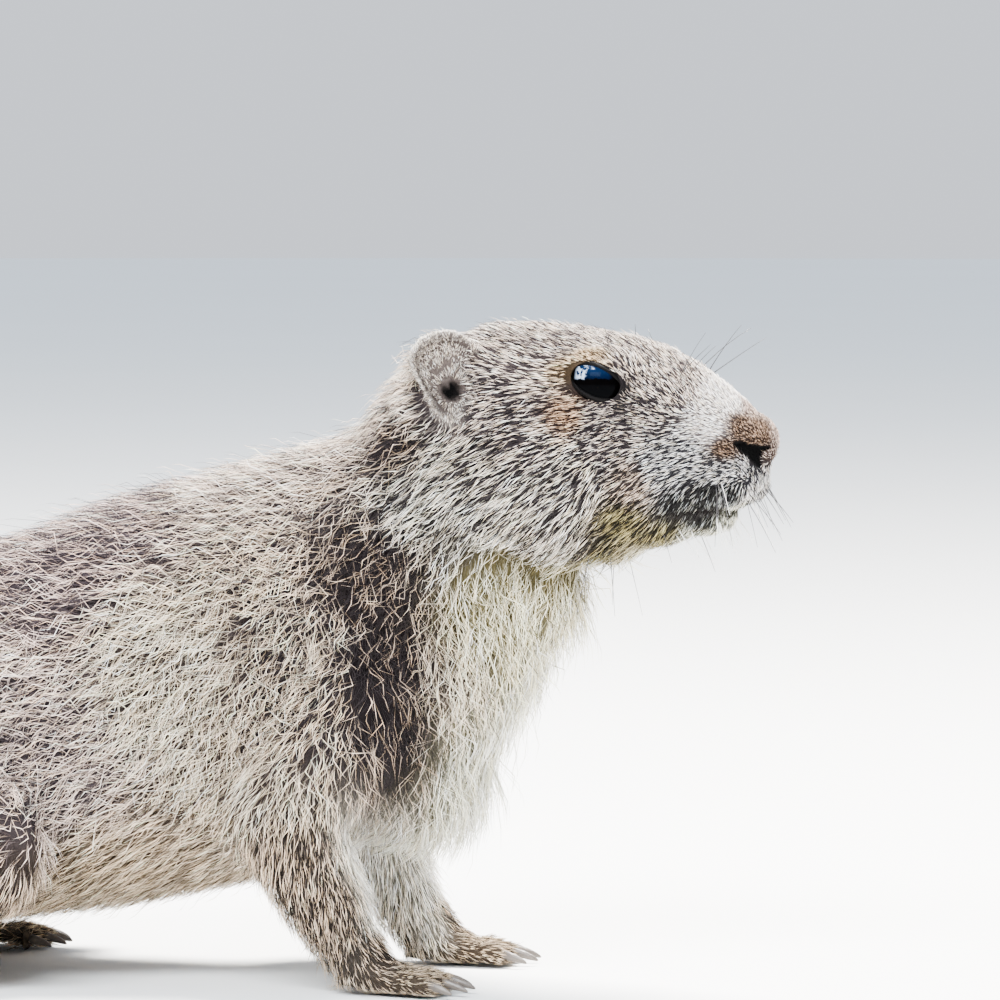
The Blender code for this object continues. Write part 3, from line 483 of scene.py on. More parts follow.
def face_lines(points):
    """How far each place is from the nostril, the mouth and the groove under the nose."""
    local, side = in_head(points)
    folded = np.column_stack((local[:, 0], side, local[:, 2]))
    # The nostril is told by its outline seen from outside, however deep it is
    turn = np.array(NOSTRIL_FACING.to_track_quat("Z", "Y").to_matrix())
    flat_line = np.array(NOSTRIL_LINE) @ turn
    nostril, along = from_line(folded @ turn, flat_line, (0, 1))
    on_nose = np.linalg.norm(folded - np.array(NOSTRIL_LINE[2]) * MM, axis=1) < NOSTRIL_REACH
    nostril = np.where(on_nose & (local[:, 0] > 96 * MM), nostril, NO_LINE)
    nostril += 5 * MM * (1 - ease(side, 0.7 * MM, 2.0 * MM))
    mouth, _ = from_line(folded, MOUTH_LINE, (0, 2))
    mouth = np.where(local[:, 0] > 74 * MM, mouth, NO_LINE)
    groove, _ = from_line(folded, GROOVE_LINE)
    return nostril, along, mouth, groove


def tree_of(spots):
    """Finds the nearest of some places."""
    tree = KDTree(len(spots))
    for i, spot in enumerate(spots):
        tree.insert(spot, i)
    tree.balance()
    return tree


def ear_marks(points):
    """How near each place is to an ear, to its rim, to its canal and to the band under the rim
    that is painted with shade, from 0 to 1, and the way out from the canal."""
    on_ear, on_rim, on_canal, rim_shade = np.zeros((4, len(points)))
    way = np.zeros((len(points), 3))
    for side in SIDES:
        spots, rims, rim_shades = [], [], []
        for i, (scale, out) in enumerate(EAR_STEPS[3:-1], 3):
            ring = ear_ring(side, scale, out)
            spots += ring
            rims += [EAR_RIM_STEPS[0] <= i < EAR_RIM_STEPS[1]] * len(ring)
            rim_shades += [i in EAR_SHADED_STEPS] * len(ring)
        tree = tree_of(spots)
        canal = np.array(ear_place(side, *EAR_CANAL, -3.0))
        inward = np.array(ear_place(side, *EAR_CANAL, -4.0)) - canal
        ahead = np.array(ear_place(side, EAR_CANAL[0] + 1, EAR_CANAL[1], -3.0)) - canal
        lobe_at = (EAR_CANAL[0] + EAR_LOBE[0], EAR_CANAL[1] + EAR_LOBE[1])
        lobe = np.array(ear_place(side, *lobe_at, -2.0)) - canal
        near = np.flatnonzero(np.linalg.norm(points - canal, axis=1) < EAR_REACH)
        found = [tree.find(points[k]) for k in near]
        nearest = [hit[1] for hit in found]
        gap = np.array([hit[2] for hit in found])
        away = points[near] - canal
        deep = np.clip(away @ inward / MM ** 2, -7, 6)[:, None] * inward
        off = np.linalg.norm(away - deep, axis=1)
        forwards = away @ ahead / MM ** 2
        behind = 1 - ease(forwards, 4, 8)
        skin = 1 - ease(gap, 1.2 * MM, 3.2 * MM)
        on_ear[near] = np.maximum(skin, 1 - ease(off, 6.0 * MM, 8.5 * MM)) * behind
        rim = skin * np.array([rims[k] for k in nearest]) * (1 - ease(forwards, -1, 6))
        rim_shade[near] = (1 - ease(gap, 0.8 * MM, 2.4 * MM)) * np.array([rim_shades[k] for k in nearest]) * behind
        lobe_off = away - lobe
        lobe_off -= (lobe_off @ inward / MM ** 2)[:, None] * inward
        on_rim[near] = np.maximum(rim, 1 - ease(np.linalg.norm(lobe_off, axis=1), 1.4 * MM, 3.0 * MM))
        on_canal[near] = 1 - ease(off, 2.2 * MM, 3.5 * MM)
        way[near] = away / np.maximum(np.linalg.norm(away, axis=1, keepdims=True), 1e-6)
    return on_ear, on_rim, on_canal, rim_shade, way


def weigh(obj, name, weights):
    """A vertex group from an array of weights, in steps of a twentieth."""
    group = obj.vertex_groups.new(name=name)
    steps = np.round(weights * 20).astype(int)
    for step in range(1, 21):
        group.add(np.flatnonzero(steps == step).tolist(), step / 20, "REPLACE")


def soften(obj, weights, rounds):
    """Smooths a mesh where the weights say."""
    weigh(obj, "soft", weights)
    smooth = obj.modifiers.new("soft", "SMOOTH")
    smooth.factor = 0.5
    smooth.iterations = rounds
    smooth.vertex_group = "soft"
    apply_all(obj)
    obj.vertex_groups.clear()


def press_in(obj, depth):
    """Moves a mesh's points inwards by the depth at each."""
    points = places_of(obj.data) - normals_of(obj.data) * depth[:, None]
    obj.data.vertices.foreach_set("co", points.ravel())
    return points


def draw_hide():
    """The hide, from one skin over the whole form to its finished mesh."""
    hide = body_form()
    skin = hide.modifiers.new("skin", "REMESH")
    skin.mode = "VOXEL"
    skin.voxel_size = HIDE_GRAIN
    apply_all(hide)
    points = places_of(hide.data)
    local, side = in_head(points)
    ear = np.linalg.norm(np.column_stack((local[:, 0], side, local[:, 2])) - np.array(EAR_CENTRE), axis=1)
    on_head = ease(local[:, 0], -5 * MM, 15 * MM) * ease(local[:, 2], -62 * MM, -48 * MM)
    paw = 1 - ease(points[:, 2], 10 * MM, 16 * MM)
    soft = 1 - 0.7 * np.maximum(on_head, paw)
    soft = np.where(ear < 17 * MM, 0.15, soft)
    mouth = face_lines(points)[2]
    soft = np.maximum(soft, 1 - ease(mouth, 1.5 * MM, 3.0 * MM))
    soften(hide, soft, 30)
    # Sink it by the depth of the coat, and hardly at all on the ears
    coat = comb(places_of(hide.data))
    full = ease(ear, 12 * MM, 21 * MM)
    press_in(hide, 0.15 * MM * (1 - full) + (coat["depth"] * 0.92 + 0.35 * MM) * full)
    soften(hide, soft * 0.8, 10)
    # Press in the nostrils, the mouth, the groove and the canals of the ears
    points = places_of(hide.data)
    nostril, along, mouth, groove = face_lines(points)
    dent = NOSTRIL_DEPTH * np.exp(-(nostril / ((1.3 + 1.8 * along) * MM)) ** 2)
    dent += MOUTH_DEPTH * np.exp(-(mouth / (0.8 * MM)) ** 2)
    dent += GROOVE_DEPTH * np.exp(-(groove / (0.6 * MM)) ** 2)
    dent += CANAL_DEPTH * ear_marks(points)[2]
    points = press_in(hide, dent)
    # Thin the mesh where the hair is long
    keep = 0.12 + 0.88 * ease(in_head(points)[0][:, 0], 30 * MM, 70 * MM)
    weigh(hide, "thin", 1 - keep)
    thin = hide.modifiers.new("thin", "DECIMATE")
    thin.ratio = HIDE_FACES / sum(len(p.vertices) - 2 for p in hide.data.polygons)
    thin.vertex_group = "thin"
    thin.vertex_group_factor = 1.0
    thin.use_collapse_triangulate = True
    apply_all(hide)
    hide.vertex_groups.clear()
    hide.data.shade_smooth()
    return hide


hide = draw_hide()


class Sock:
    """A shader socket that does its maths with Python's signs."""

    def __init__(self, tree, link):
        self.tree = tree
        self.link = link

    def node(self, kind, settings=None, out=0, **sockets):
        """Any other node: its type, its settings, then values or links for its sockets."""
        made = self.tree.nodes.new(kind)
        for name, value in (settings or {}).items():
            setattr(made, name, value)
        for name, value in sockets.items():
            key = int(name[1:]) if name[0] == "_" else name.replace("_", " ")
            target = made.inputs[key]
            if isinstance(value, Sock):
                self.tree.links.new(value.link, target)
            else:
                target.default_value = value
        return Sock(self.tree, made.outputs[out])

    def maths(self, operation, other):
        """The sum of this socket with another, or with a number."""
        return self.node("ShaderNodeMath", {"operation": operation}, 0, _0=self, _1=other)

    def __add__(self, other):
        return self.maths("ADD", other)

    def __sub__(self, other):
        return self.maths("SUBTRACT", other)

    def __rsub__(self, other):
        return (self * -1) + other

    def __mul__(self, other):
        return self.maths("MULTIPLY", other)

    __radd__ = __add__
    __rmul__ = __mul__


class Finish:
    """A material of the marmot's, with its Principled shader and its Object coordinates."""

    def __init__(self, name, **numbers):
        self.material = bpy.data.materials.new(name)
        self.material.use_nodes = True
        self.tree = self.material.node_tree
        self.shader = self.tree.nodes["Principled BSDF"]
        for socket, value in numbers.items():
            self.shader.inputs[socket.replace("_", " ")].default_value = value
        self.start = Sock(self.tree, None)
        self.place = self.start.node("ShaderNodeTexCoord", out="Object")

    def value(self, name, out="Color"):
        """What is painted on the mesh under a name."""
        return self.start.node("ShaderNodeAttribute", {"attribute_name": name}, out)

    def noise(self, scale, detail=2.0):
        """Soft, uneven spots that stay in place on the object."""
        return self.start.node("ShaderNodeTexNoise", Vector=self.place, Scale=scale, Detail=detail)

    def mix(self, factor, a, b):
        """A blend from colour a to colour b."""
        return self.start.node("ShaderNodeMix", {"data_type": "RGBA"}, 2, _0=factor, _6=a, _7=b)

    def feed(self, **links):
        """Joins links to the shader's sockets."""
        for socket, link in links.items():
            self.tree.links.new(link.link, self.shader.inputs[socket.replace("_", " ")])

    def bump(self, height, distance, strength):
        """A relief in the surface."""
        depth = {"Height": height, "Distance": distance, "Strength": strength}
        self.feed(Normal=self.start.node("ShaderNodeBump", **depth))


def paint(mesh, name, colours):
    """A colour attribute on a mesh's points."""
    layer = mesh.attributes.new(name, "FLOAT_COLOR", "POINT")
    full = np.ones((len(colours), 4), np.float32)
    full[:, :3] = colours
    layer.data.foreach_set("color", full.ravel())


EAR_VELVET = {"length": 2.2 * MM, "depth": 0.28 * MM}
EAR_FRINGE = {"length": 1.3 * MM, "depth": 0.40 * MM}
# Painted shade: the black deep in the nostrils and the ear canals
HOLE_SHADE_BLACK = np.array((0.001, 0.001, 0.001))
# The dark lips, darker still along the mouth as the painted shade of its slit
LIP_DARK_AND_SHADE = np.array((0.02, 0.017, 0.016))
GROOVE_PINK = np.array((0.42, 0.30, 0.27))
# How much darker the hair under the ears' rims is painted, as painted shade
RIM_PAINTED_SHADE = 0.28


def toward(value, goal, share):
    """Blends towards a goal by the share at each place."""
    share = share if value.ndim == 1 else share[:, None]
    return value * (1 - share) + goal * share


def markings(points):
    """The coat at each place, with the ears, the pink groove and the bare skin of the nostrils and lips
    worked in. The nostrils and the ear canals are painted black, as the shade deep in them; the lips
    are dark, and darker still along the mouth as its painted shade; under the ears' rims the hair
    carries painted shade."""
    coat = comb(points)
    nostril, along, mouth, groove = face_lines(points)
    bare = 1 - ease(nostril, (1.1 + 2.1 * along) * MM, (1.7 + 2.3 * along) * MM)
    on_ear, on_rim, canal, rim_shade, way = ear_marks(points)
    for key in ("length", "depth"):
        short = EAR_VELVET[key] * (1 - on_rim) + EAR_FRINGE[key] * on_rim
        coat[key] = toward(coat[key], short, on_ear)
    coat["lie"] = toward(coat["lie"], way, on_ear)
    for share, tone in ((on_ear, TONES["ear"]), (on_rim, TONES["rim"])):
        for key, goal in zip(("under", "tip"), tone):
            coat[key] = toward(coat[key], np.array(goal), share)
            # Painted shade under the ears' rims
            coat[key] *= 1 - RIM_PAINTED_SHADE * rim_shade[:, None]
    # The ear canals are painted black like the nostrils, as the shade deep in them
    bare = np.maximum(bare, canal)
    # Along the mouth the lips are painted darker, as the shade of its slit
    lips = 0.7 * (1 - ease(mouth, 0.3 * MM, 1.4 * MM))
    pink = 1 - ease(groove, 0.4 * MM, 1.0 * MM)
    # Darkened lips with painted shade along the mouth, the pink groove, and black painted shade in the
    # nostrils and the ear canals
    for tone in ("under", "tip"):
        for share, colour in ((lips, LIP_DARK_AND_SHADE), (pink, GROOVE_PINK), (bare, HOLE_SHADE_BLACK)):
            coat[tone] = toward(coat[tone], colour, share)
    coat["bare"] = np.clip(np.maximum(bare, pink * 0.9), 0, 1)
    return coat


# The hide is painted darker than the coat's under colour: the dark underfur, with painted shade for the gaps
# deep between the hairs
paint(hide.data, "hide_tone", markings(places_of(hide.data))["under"] * 0.6)

pelt = Finish("hide", Roughness=0.8, Specular_IOR_Level=0.012)
pelt_tone_and_shade = pelt.mix(pelt.noise(900.0, 3.0) * 0.7, pelt.value("hide_tone"), (0.003, 0.003, 0.003, 1))
pelt.feed(Base_Color=pelt_tone_and_shade)
pelt.bump(pelt.noise(1600.0, 3.0), 0.0006, 0.8)
hide.data.materials.append(pelt.material)
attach(hide, "root")
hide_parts(*flesh)


# The coat: fine hairs in tufts, dark at the root and most of them pale at the tip. Each hair is a
# closed spindle, rooted in the hide and bent along its lie, and hairs lean together in locks.
# How many hairs deep it is on each part, and which part each of the solids belongs to
HAIR_LAYERS = {
    "head": 1.58, "front": 1.62, "rear": 1.25, "fore": 1.35, "hind": 1.3, "feet": 0.62, "tail": 5.0,
}
PART_OF = {
    "head": "head", "nose": "head", "ear": "head", "neck": "front", "torso": "front", "rump": "rear",
    "foreleg": "fore", "hindleg": "hind", "forepaw": "feet", "hindfoot": "feet", "tail": "tail",
}
REAR_STARTS = WITHERS.x - 52 * MM
HAIR_SINK = 0.5 * MM
FLOOR_CLEAR = 0.5 * MM
# Random spreads, as shares of what the rows say
LENGTH_SPREAD = (0.65, 1.2)
DEPTH_SPREAD = (0.4, 1.25)
WIDTH_SPREAD = (0.7, 1.25)
STRAY_SHARE = 0.05
STRAY_RISE = 1.7
LEAD_SHARE = 0.4
TAN_SPREAD = np.array((0.03, 0.13, 0.30))
SCATTER_SEED = 7
FIRST_SEED = 20
PIECE_FACES = 195000
PATCH_SIZE = 0.003


def triangles_of(mesh):
    """The corners of a mesh's triangles."""
    mesh.calc_loop_triangles()
    flat = np.empty(len(mesh.loop_triangles) * 3, np.int32)
    mesh.loop_triangles.foreach_get("vertices", flat)
    return flat.reshape(-1, 3)


def hair_width(length):
    """How wide a hair of that length is at its middle."""
    return np.interp(length, (0, 6 * MM, 30 * MM), (0.13 * MM, 0.245 * MM, 0.34 * MM))


def unit(vectors):
    """The same ways, each of length 1."""
    return vectors / np.maximum(np.linalg.norm(vectors, axis=1, keepdims=True), 1e-9)


def part_of(roots):
    """The part of the body that each root grows on, by its number in HAIR_LAYERS."""
    numbers = {part: i for i, part in enumerate(HAIR_LAYERS)}
    places, kinds = [], []
    for name in flesh:
        spots = places_of(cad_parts[name].data)
        places.append(spots)
        kinds.append(np.full(len(spots), numbers[PART_OF[name.split("_")[0]]]))
    tree = tree_of(np.concatenate(places))
    kind = np.concatenate(kinds)[[tree.find(root)[1] for root in roots]]
    behind = (kind == numbers["front"]) & (roots[:, 0] < REAR_STARTS)
    return np.where(behind, numbers["rear"], kind)


def scatter(mesh, draw):
    """Roots over a mesh, closer where the hair is short: their places and normals."""
    points = places_of(mesh)
    normals = normals_of(mesh)
    corners = triangles_of(mesh)
    marks = markings(points)
    layers = np.array(list(HAIR_LAYERS.values()))[part_of(points)[corners[:, 0]]]
    a, b, c = (points[corners[:, i]] for i in range(3))
    area = np.linalg.norm(np.cross(b - a, c - a), axis=1) / 2
    length = marks["length"][corners].mean(1)
    wanted = area * layers / (0.5 * hair_width(length) * length)
    wanted *= 1 - marks["bare"][corners].mean(1)
    count = np.floor(wanted + draw.random(len(wanted))).astype(int)
    face = np.repeat(np.arange(len(corners)), count)
    u, v = draw.random((2, len(face)))
    flip = u + v > 1
    u[flip], v[flip] = 1 - u[flip], 1 - v[flip]
    share = np.stack((1 - u - v, u, v), 1)
    where = (points[corners[face]] * share[:, :, None]).sum(1)
    normal = unit((normals[corners[face]] * share[:, :, None]).sum(1))
    return where, normal


def lean_together(roots, tips, length, draw, pull):
    """Draws the tips of neighbouring hairs towards one another, as locks do."""
    lead = np.flatnonzero(draw.random(len(roots)) < LEAD_SHARE)
    tree = tree_of(roots[lead])
    leader = lead[np.array([tree.find(root)[1] for root in roots])]
    gap = roots - roots[leader]
    far = np.linalg.norm(gap, axis=1)
    share = pull * np.clip(1.5 - far / (0.35 * length + 0.5 * MM), 0, 1)
    goal = tips[leader] + gap * 0.35
    return tips + (goal - tips) * np.minimum(share, pull)[:, None], leader


def hair_faces(bends):
    """The triangles of one hair: a root point, a ring of three points at each bend, and a tip."""
    faces = [(0, 2, 1), (0, 3, 2), (0, 1, 3)]
    for a in range(1, 3 * bends - 2, 3):
        for j, k in ((0, 1), (1, 2), (2, 0)):
            faces += [(a + j, a + k, a + 3 + k), (a + j, a + 3 + k, a + 3 + j)]
    last = 3 * bends - 2
    tip = last + 3
    faces += [(last, last + 1, tip), (last + 1, last + 2, tip), (last + 2, last, tip)]
    return np.array(faces)


def hair_points(roots, normals, marks, draw, bends):
    """The points of every hair, and the hair whose lock each one joins."""
    count = len(roots)
    crinkle = marks["crinkle"]
    lie = marks["lie"] + draw.normal(0, 1, (count, 3)) * (0.10 + 1.1 * crinkle)[:, None]
    lie = unit(lie - (lie * normals).sum(1, keepdims=True) * normals)
    across = np.cross(lie, normals)
    length = marks["length"] * draw.uniform(*LENGTH_SPREAD, count)
    depth = marks["depth"] * draw.uniform(*DEPTH_SPREAD, count)
    depth[draw.random(count) < STRAY_SHARE] *= STRAY_RISE
    width = hair_width(marks["length"]) * draw.uniform(*WIDTH_SPREAD, count) * (1.05 - 1.6 * crinkle)
    tips = roots + lie * length[:, None] + normals * depth[:, None]
    tips[:, 2] = np.maximum(tips[:, 2], FLOOR_CLEAR)
    pull = np.clip(0.42 - 2.2 * crinkle, 0.05, 1)
    tips, leader = lean_together(roots, tips, marks["length"], draw, pull)
    base = roots - normals * np.minimum(HAIR_SINK, 0.6 * marks["depth"])[:, None]
    base[:, 2] = np.maximum(base[:, 2], FLOOR_CLEAR)
    rings = []
    swing = draw.normal(0, 1, count) * crinkle
    for i, share in enumerate(bends):
        rise = share * (1 - share)
        centre = base + (tips - base) * share + normals * (depth * rise)[:, None]
        centre += across * (length * swing * (-1) ** i * math.sin(math.pi * share))[:, None]
        centre[:, 2] = np.maximum(centre[:, 2], FLOOR_CLEAR)
        half = width * 0.5 * (1 if i == 0 else 0.85)
        rings.append(centre - across * half[:, None])
        rings.append(centre + across * half[:, None])
        rings.append(centre + normals * (half * 0.8)[:, None])
    return np.stack([base, *rings, tips], 1), leader


def hair_tones(marks, leader, draw, bends):
    """The colour at every point of every hair: a dark root, and a pale or dark tip."""
    count = len(leader)
    fate = draw.normal(0, 1, count)
    fate = 0.4 * fate[leader] + 0.92 * draw.normal(0, 1, count)
    pale = np.argsort(np.argsort(fate)) / count < marks["share"]
    lock = draw.normal(1, 0.14, count)[leader]
    bright = np.clip(lock * draw.normal(1, 0.22, count), 0.45, 1.6)[:, None]
    tan = 1 - draw.random(count)[:, None] ** 2 * TAN_SPREAD
    tip = np.where(pale[:, None], marks["tip"] * tan, marks["under"] * 0.9) * bright
    low = marks["under"] * 0.8
    tones = [marks["under"] * 0.5]
    for share in bends:
        tones += [low + (tip - low) * min(share * 1.7, 1) ** 1.6] * 3
    tones.append(tip)
    return np.clip(np.stack(tones, 1), 0.002, 0.95).reshape(-1, 3)


def spindles(name, roots, normals, marks, seed, bends):
    """One mesh of hairs, with the triangles and the points of each."""
    draw = np.random.default_rng(seed)
    points, leader = hair_points(roots, normals, marks, draw, bends)
    count, size = points.shape[:2]
    faces = hair_faces(len(bends))
    corners = (faces[None] + (np.arange(count) * size)[:, None, None]).reshape(-1)
    mesh = bpy.data.meshes.new(name)
    mesh.vertices.add(count * size)
    mesh.vertices.foreach_set("co", points.astype(np.float32).ravel())
    mesh.loops.add(len(corners))
    mesh.loops.foreach_set("vertex_index", corners.astype(np.int32))
    mesh.polygons.add(len(corners) // 3)
    mesh.polygons.foreach_set("loop_start", np.arange(0, len(corners), 3, dtype=np.int32))
    mesh.update()
    paint(mesh, "hair_tone", hair_tones(marks, leader, draw, bends))
    return mesh, faces, size


def axis_unwrap(roots, path):
    """Places on an unwrap of a rounded part of the body: along its axis, and round it."""
    path = np.array(path)
    steps = np.linalg.norm(np.diff(path, axis=0), axis=1)
    whole = steps.sum()
    best = np.full(len(roots), 9.0)
    along = np.zeros(len(roots))
    angle = np.zeros(len(roots))
    done = 0.0
    for a, b, step in zip(path, path[1:], steps):
        way = (b - a) / step
        t = np.clip((roots - a) @ way, 0, step)
        off = roots - a - t[:, None] * way
        gap = np.linalg.norm(off, axis=1)
        side = unit(np.cross(way, (0.0, 0.1, 1.0))[None])[0]
        up = np.cross(side, way)
        nearer = gap < best
        best[nearer] = gap[nearer]
        along[nearer] = (done + t[nearer]) / whole
        angle[nearer] = np.arctan2(off[nearer] @ side, off[nearer] @ up)
        done += step
    return np.column_stack((along, angle / math.tau + 0.5))


def lay_patches(mesh, places, faces, size):
    """Gives every hair its own small patch on a UV map, at its place on the unwrap of its part."""
    spread = np.zeros((size, 2))
    spread[-1] = (0, 1)
    rings = (size - 2) // 3
    for i in range(rings):
        height = (i + 1) / (rings + 1)
        spread[1 + 3 * i:4 + 3 * i] = ((-0.5, height), (0.5, height), (0.0, height + 0.08))
    at = 0.01 + places * 0.975
    corners = at[:, None, None] + spread[faces][None] * PATCH_SIZE
    layer = mesh.uv_layers.new(name="OFBake")
    layer.uv.foreach_set("vector", corners.astype(np.float32).ravel())


fur = Finish("coat_hair", Roughness=0.55, Specular_IOR_Level=0.05)
grizzle = fur.noise(1200.0, 1.0)
fur.feed(Base_Color=fur.mix(grizzle * 0.3, fur.value("hair_tone"), (0.03, 0.026, 0.025, 1)))


def dress(name, mesh):
    """Sets out one piece of the coat."""
    piece = set_out(name, mesh)
    mesh.materials.append(fur.material)
    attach(piece, "root")


# The line that each part of the body is unwrapped round
AXES = {
    "head": [head_place @ (Vector((u, 0, w)) * MM) for u, w in ((-15, -8), (112, -10))],
    "front": [WITHERS + Vector((x, 0, z)) * MM for x, z in ((-60, 80), (0, 90), (90, 120))],
    "rear": [WITHERS + Vector((x, 0, z)) * MM for x, z in ((-245, 45), (-120, 64), (-50, 82))],
    "fore": [WITHERS + Vector(p) * MM for p in ((16, 0, 130), (25, 0, 0))],
    "hind": [WITHERS + Vector(p) * MM for p in ((-60, 0, 40), (-175, 0, 40))],
    "feet": [WITHERS + Vector(p) * MM for p in ((60, 0, 8), (-170, 0, 8))],
    "tail": [WITHERS + Vector(p) * MM for p in TAIL_PATH],
}
# Where along it a hair bends, on the parts with long hair and on the rest
LONG_HAIRED = ("front", "rear", "tail")
LONG_BENDS = (0.35, 0.72)
SHORT_BENDS = (0.55,)


# The eyes' places, which the coat keeps clear of: the ball, and the opening between the lids, half
# its length and height, measured in the head in mm
BALL_RADIUS = 9.0
EYE_CENTRE = Vector((62.2, 17.9, 10.6)) * MM
EYE_AXIS = Vector((0.22, 1, 0.10)).normalized()
BALL_SUNK = 1.8
OPENING = (7.4, 4.3)
LID_SLANT = 0.29
LID_BARE = 0.9


def eye_frame(side):
    """The middle of an eye in the head, the way it faces, and the ways forward and up across it."""
    centre = Vector((EYE_CENTRE.x, EYE_CENTRE.y * side, EYE_CENTRE.z))
    axis = Vector((EYE_AXIS.x, EYE_AXIS.y * side, EYE_AXIS.z))
    forward = (Vector((1, 0, 0)) - axis.x * axis).normalized()
    up = (Vector((0, 0, 1)) - axis.z * axis).normalized()
    return centre, axis, forward, up


def off_the_lids(roots):
    """Whether each root stands clear of the bare lids."""
    local, side = in_head(roots)
    centre, axis, forward, up = (np.array(part) for part in eye_frame(1))
    away = np.column_stack((local[:, 0], side, local[:, 2])) - centre
    along = away @ forward / MM
    rise = away @ up / MM + LID_SLANT * along
    corner = np.where(along > 0, 1.0, 0.0)
    bare = (along / (OPENING[0] + LID_BARE + corner)) ** 2 + (rise / (OPENING[1] + LID_BARE)) ** 2
    return (bare > 1) | (away @ axis < 0)


def grow_coat():
    """Roots the hairs in the hide, and sets them out part by part in pieces of a fair size."""
    roots, normals = scatter(hide.data, np.random.default_rng(SCATTER_SEED))
    stay = off_the_lids(roots)
    marks = {key: value[stay] for key, value in markings(roots).items()}
    roots, normals = roots[stay], normals[stay]
    kind = part_of(roots)
    seed = FIRST_SEED
    for i, group in enumerate(HAIR_LAYERS):
        own = np.flatnonzero(kind == i)
        unwrapped = axis_unwrap(roots[own], AXES[group])
        order = np.argsort(unwrapped[:, 0])
        own, unwrapped = own[order], unwrapped[order]
        bends = LONG_BENDS if group in LONG_HAIRED else SHORT_BENDS
        pieces = math.ceil(len(own) * len(bends) * 6 / PIECE_FACES)
        for k, cut in enumerate(np.array_split(np.arange(len(own)), pieces)):
            seed += 1
            chosen = own[cut]
            part = {key: value[chosen] for key, value in marks.items()}
            name = f"coat_{group}_{k + 1}" if pieces > 1 else f"coat_{group}"
            mesh, faces, size = spindles(name, roots[chosen], normals[chosen], part, seed, bends)
            lay_patches(mesh, unwrapped[cut], faces, size)
            dress(name, mesh)


grow_coat()


# The eyes: dark, glossy balls, almost all pupil, with a painted reflection of blue sky and white
# cloud in the upper half of each, as on a glass eye. The ball is larger than what shows of it, and
# stands where the solid's does.
def eyeball(which, side):
    """A ball with, at each point, how far forward, up and out of the eye it is in mm."""
    centre, axis, forward, up = eye_frame(side)
    centre -= axis * BALL_SUNK * MM
    bm = bmesh.new()
    bmesh.ops.create_uvsphere(bm, u_segments=64, v_segments=40, radius=BALL_RADIUS * MM)
    turn = axis.to_track_quat("Z", "Y").to_matrix().to_4x4()
    bmesh.ops.transform(bm, verts=bm.verts, matrix=head_place @ Matrix.Translation(centre) @ turn)
    mesh = mesh_from(bm, "eyeball_" + which)
    off = in_head(places_of(mesh))[0] - np.array(centre)
    paint(mesh, "eye_place", off @ np.array((forward, up, axis)).T / MM)
    piece = set_out("eyeball_" + which, mesh)
    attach(piece, "root")
    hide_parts("eye_" + which)
    return piece


iris = Finish("eye_dark", Roughness=0.03, Specular_IOR_Level=0.007, Specular_Tint=(0.60, 0.78, 1.0, 1))
spot = iris.value("eye_place", "Vector")
along, rise = (spot.node("ShaderNodeSeparateXYZ", None, i, _0=spot) for i in (0, 1))


def rising(value, low, high):
    """0 below low, 1 above high, and a smooth rise between, as a node."""
    settings = {"interpolation_type": "SMOOTHSTEP"}
    return value.node("ShaderNodeMapRange", settings, _0=value, _1=low, _2=high)


# A painted reflection: blue sky and white cloud over an uneven skyline, and darkness below it
skyline = rise + (iris.noise(1100.0, 3.0) - 0.5) * 1.2
painted_sky_reflection = rising(skyline, 0.5, 0.9) * rising(along, -6.5, -5.0) * rising(along * -1, -5.2, -3.6)
painted_cloud_reflection = rising(iris.noise(640.0, 3.0) - along * 0.035, 0.59, 0.70) * 0.8
blue = iris.mix(rising(rise, 0.5, 4.5), (0.0006, 0.002, 0.008, 1), (0.002, 0.008, 0.026, 1))
dark = iris.mix(iris.noise(700.0), (0.0002, 0.0002, 0.0002, 1), (0.0007, 0.0005, 0.0005, 1))
# The base colour carries the painted reflection of the sky
iris.feed(Base_Color=iris.mix(painted_sky_reflection, dark, iris.mix(painted_cloud_reflection, blue, (0.30, 0.37, 0.50, 1))))
for which, side in (("left", 1), ("right", -1)):
    eyeball(which, side).data.materials.append(iris.material)

# The lids: a narrow, swollen, bare, blackish rim of skin round each eye, drawn out at the front
# corner. Each step is how far out from the opening's edge it is, and how high over the ball.
LID_STEPS = ((-0.25, -0.7), (-0.05, 0.12), (0.25, 0.55), (0.75, 0.80), (1.25, 0.65), (1.7, 0.05), (2.0, -2.4))
LID_POINTS = 48
LEAST_RISE = 2.9


def lid_ring(side, grown, height):
    """A ring round the eye's opening, that follows the ball."""
    centre, axis, forward, up = eye_frame(side)
    ring = []
    for k in range(LID_POINTS):
        c, s = math.cos(math.tau * k / LID_POINTS), math.sin(math.tau * k / LID_POINTS)
        corner = max(c, 0) ** 8
        along = (OPENING[0] + grown * (1 + 0.25 * max(c, 0) ** 4)) * c + corner
        rise = (OPENING[1] + grown) * s * (1 - 0.06 * abs(c)) - (LID_SLANT * along + 0.5 * corner)
        ball = math.sqrt(max(BALL_RADIUS ** 2 - along ** 2 - rise ** 2, 0)) - BALL_SUNK
        out = max(ball, LEAST_RISE) + height
        ring.append(head_place @ (centre + (forward * along + up * rise + axis * out) * MM))
    return ring


def lid_rim(which, side):
    """The lids of one eye."""
    bm = bmesh.new()
    sleeve(bm, [lid_ring(side, grown, height) for grown, height in LID_STEPS], looped=True)
    piece = set_out("lids_" + which, mesh_from(bm, "lids_" + which))
    rounder = piece.modifiers.new("rounder", "SUBSURF")
    rounder.levels = rounder.render_levels = 1
    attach(piece, "root")
    return piece


lid_skin = Finish("lid_skin", Roughness=0.4, Specular_IOR_Level=0.022)
lid_tone = lid_skin.mix(lid_skin.noise(500.0), (0.001, 0.001, 0.001, 1), (0.004, 0.0035, 0.0035, 1))
lid_skin.feed(Base_Color=lid_tone)
lid_skin.bump(lid_skin.noise(1500.0, 3.0), 0.0003, 0.6)
for which, side in (("left", 1), ("right", -1)):
    lid_rim(which, side).data.materials.append(lid_skin.material)

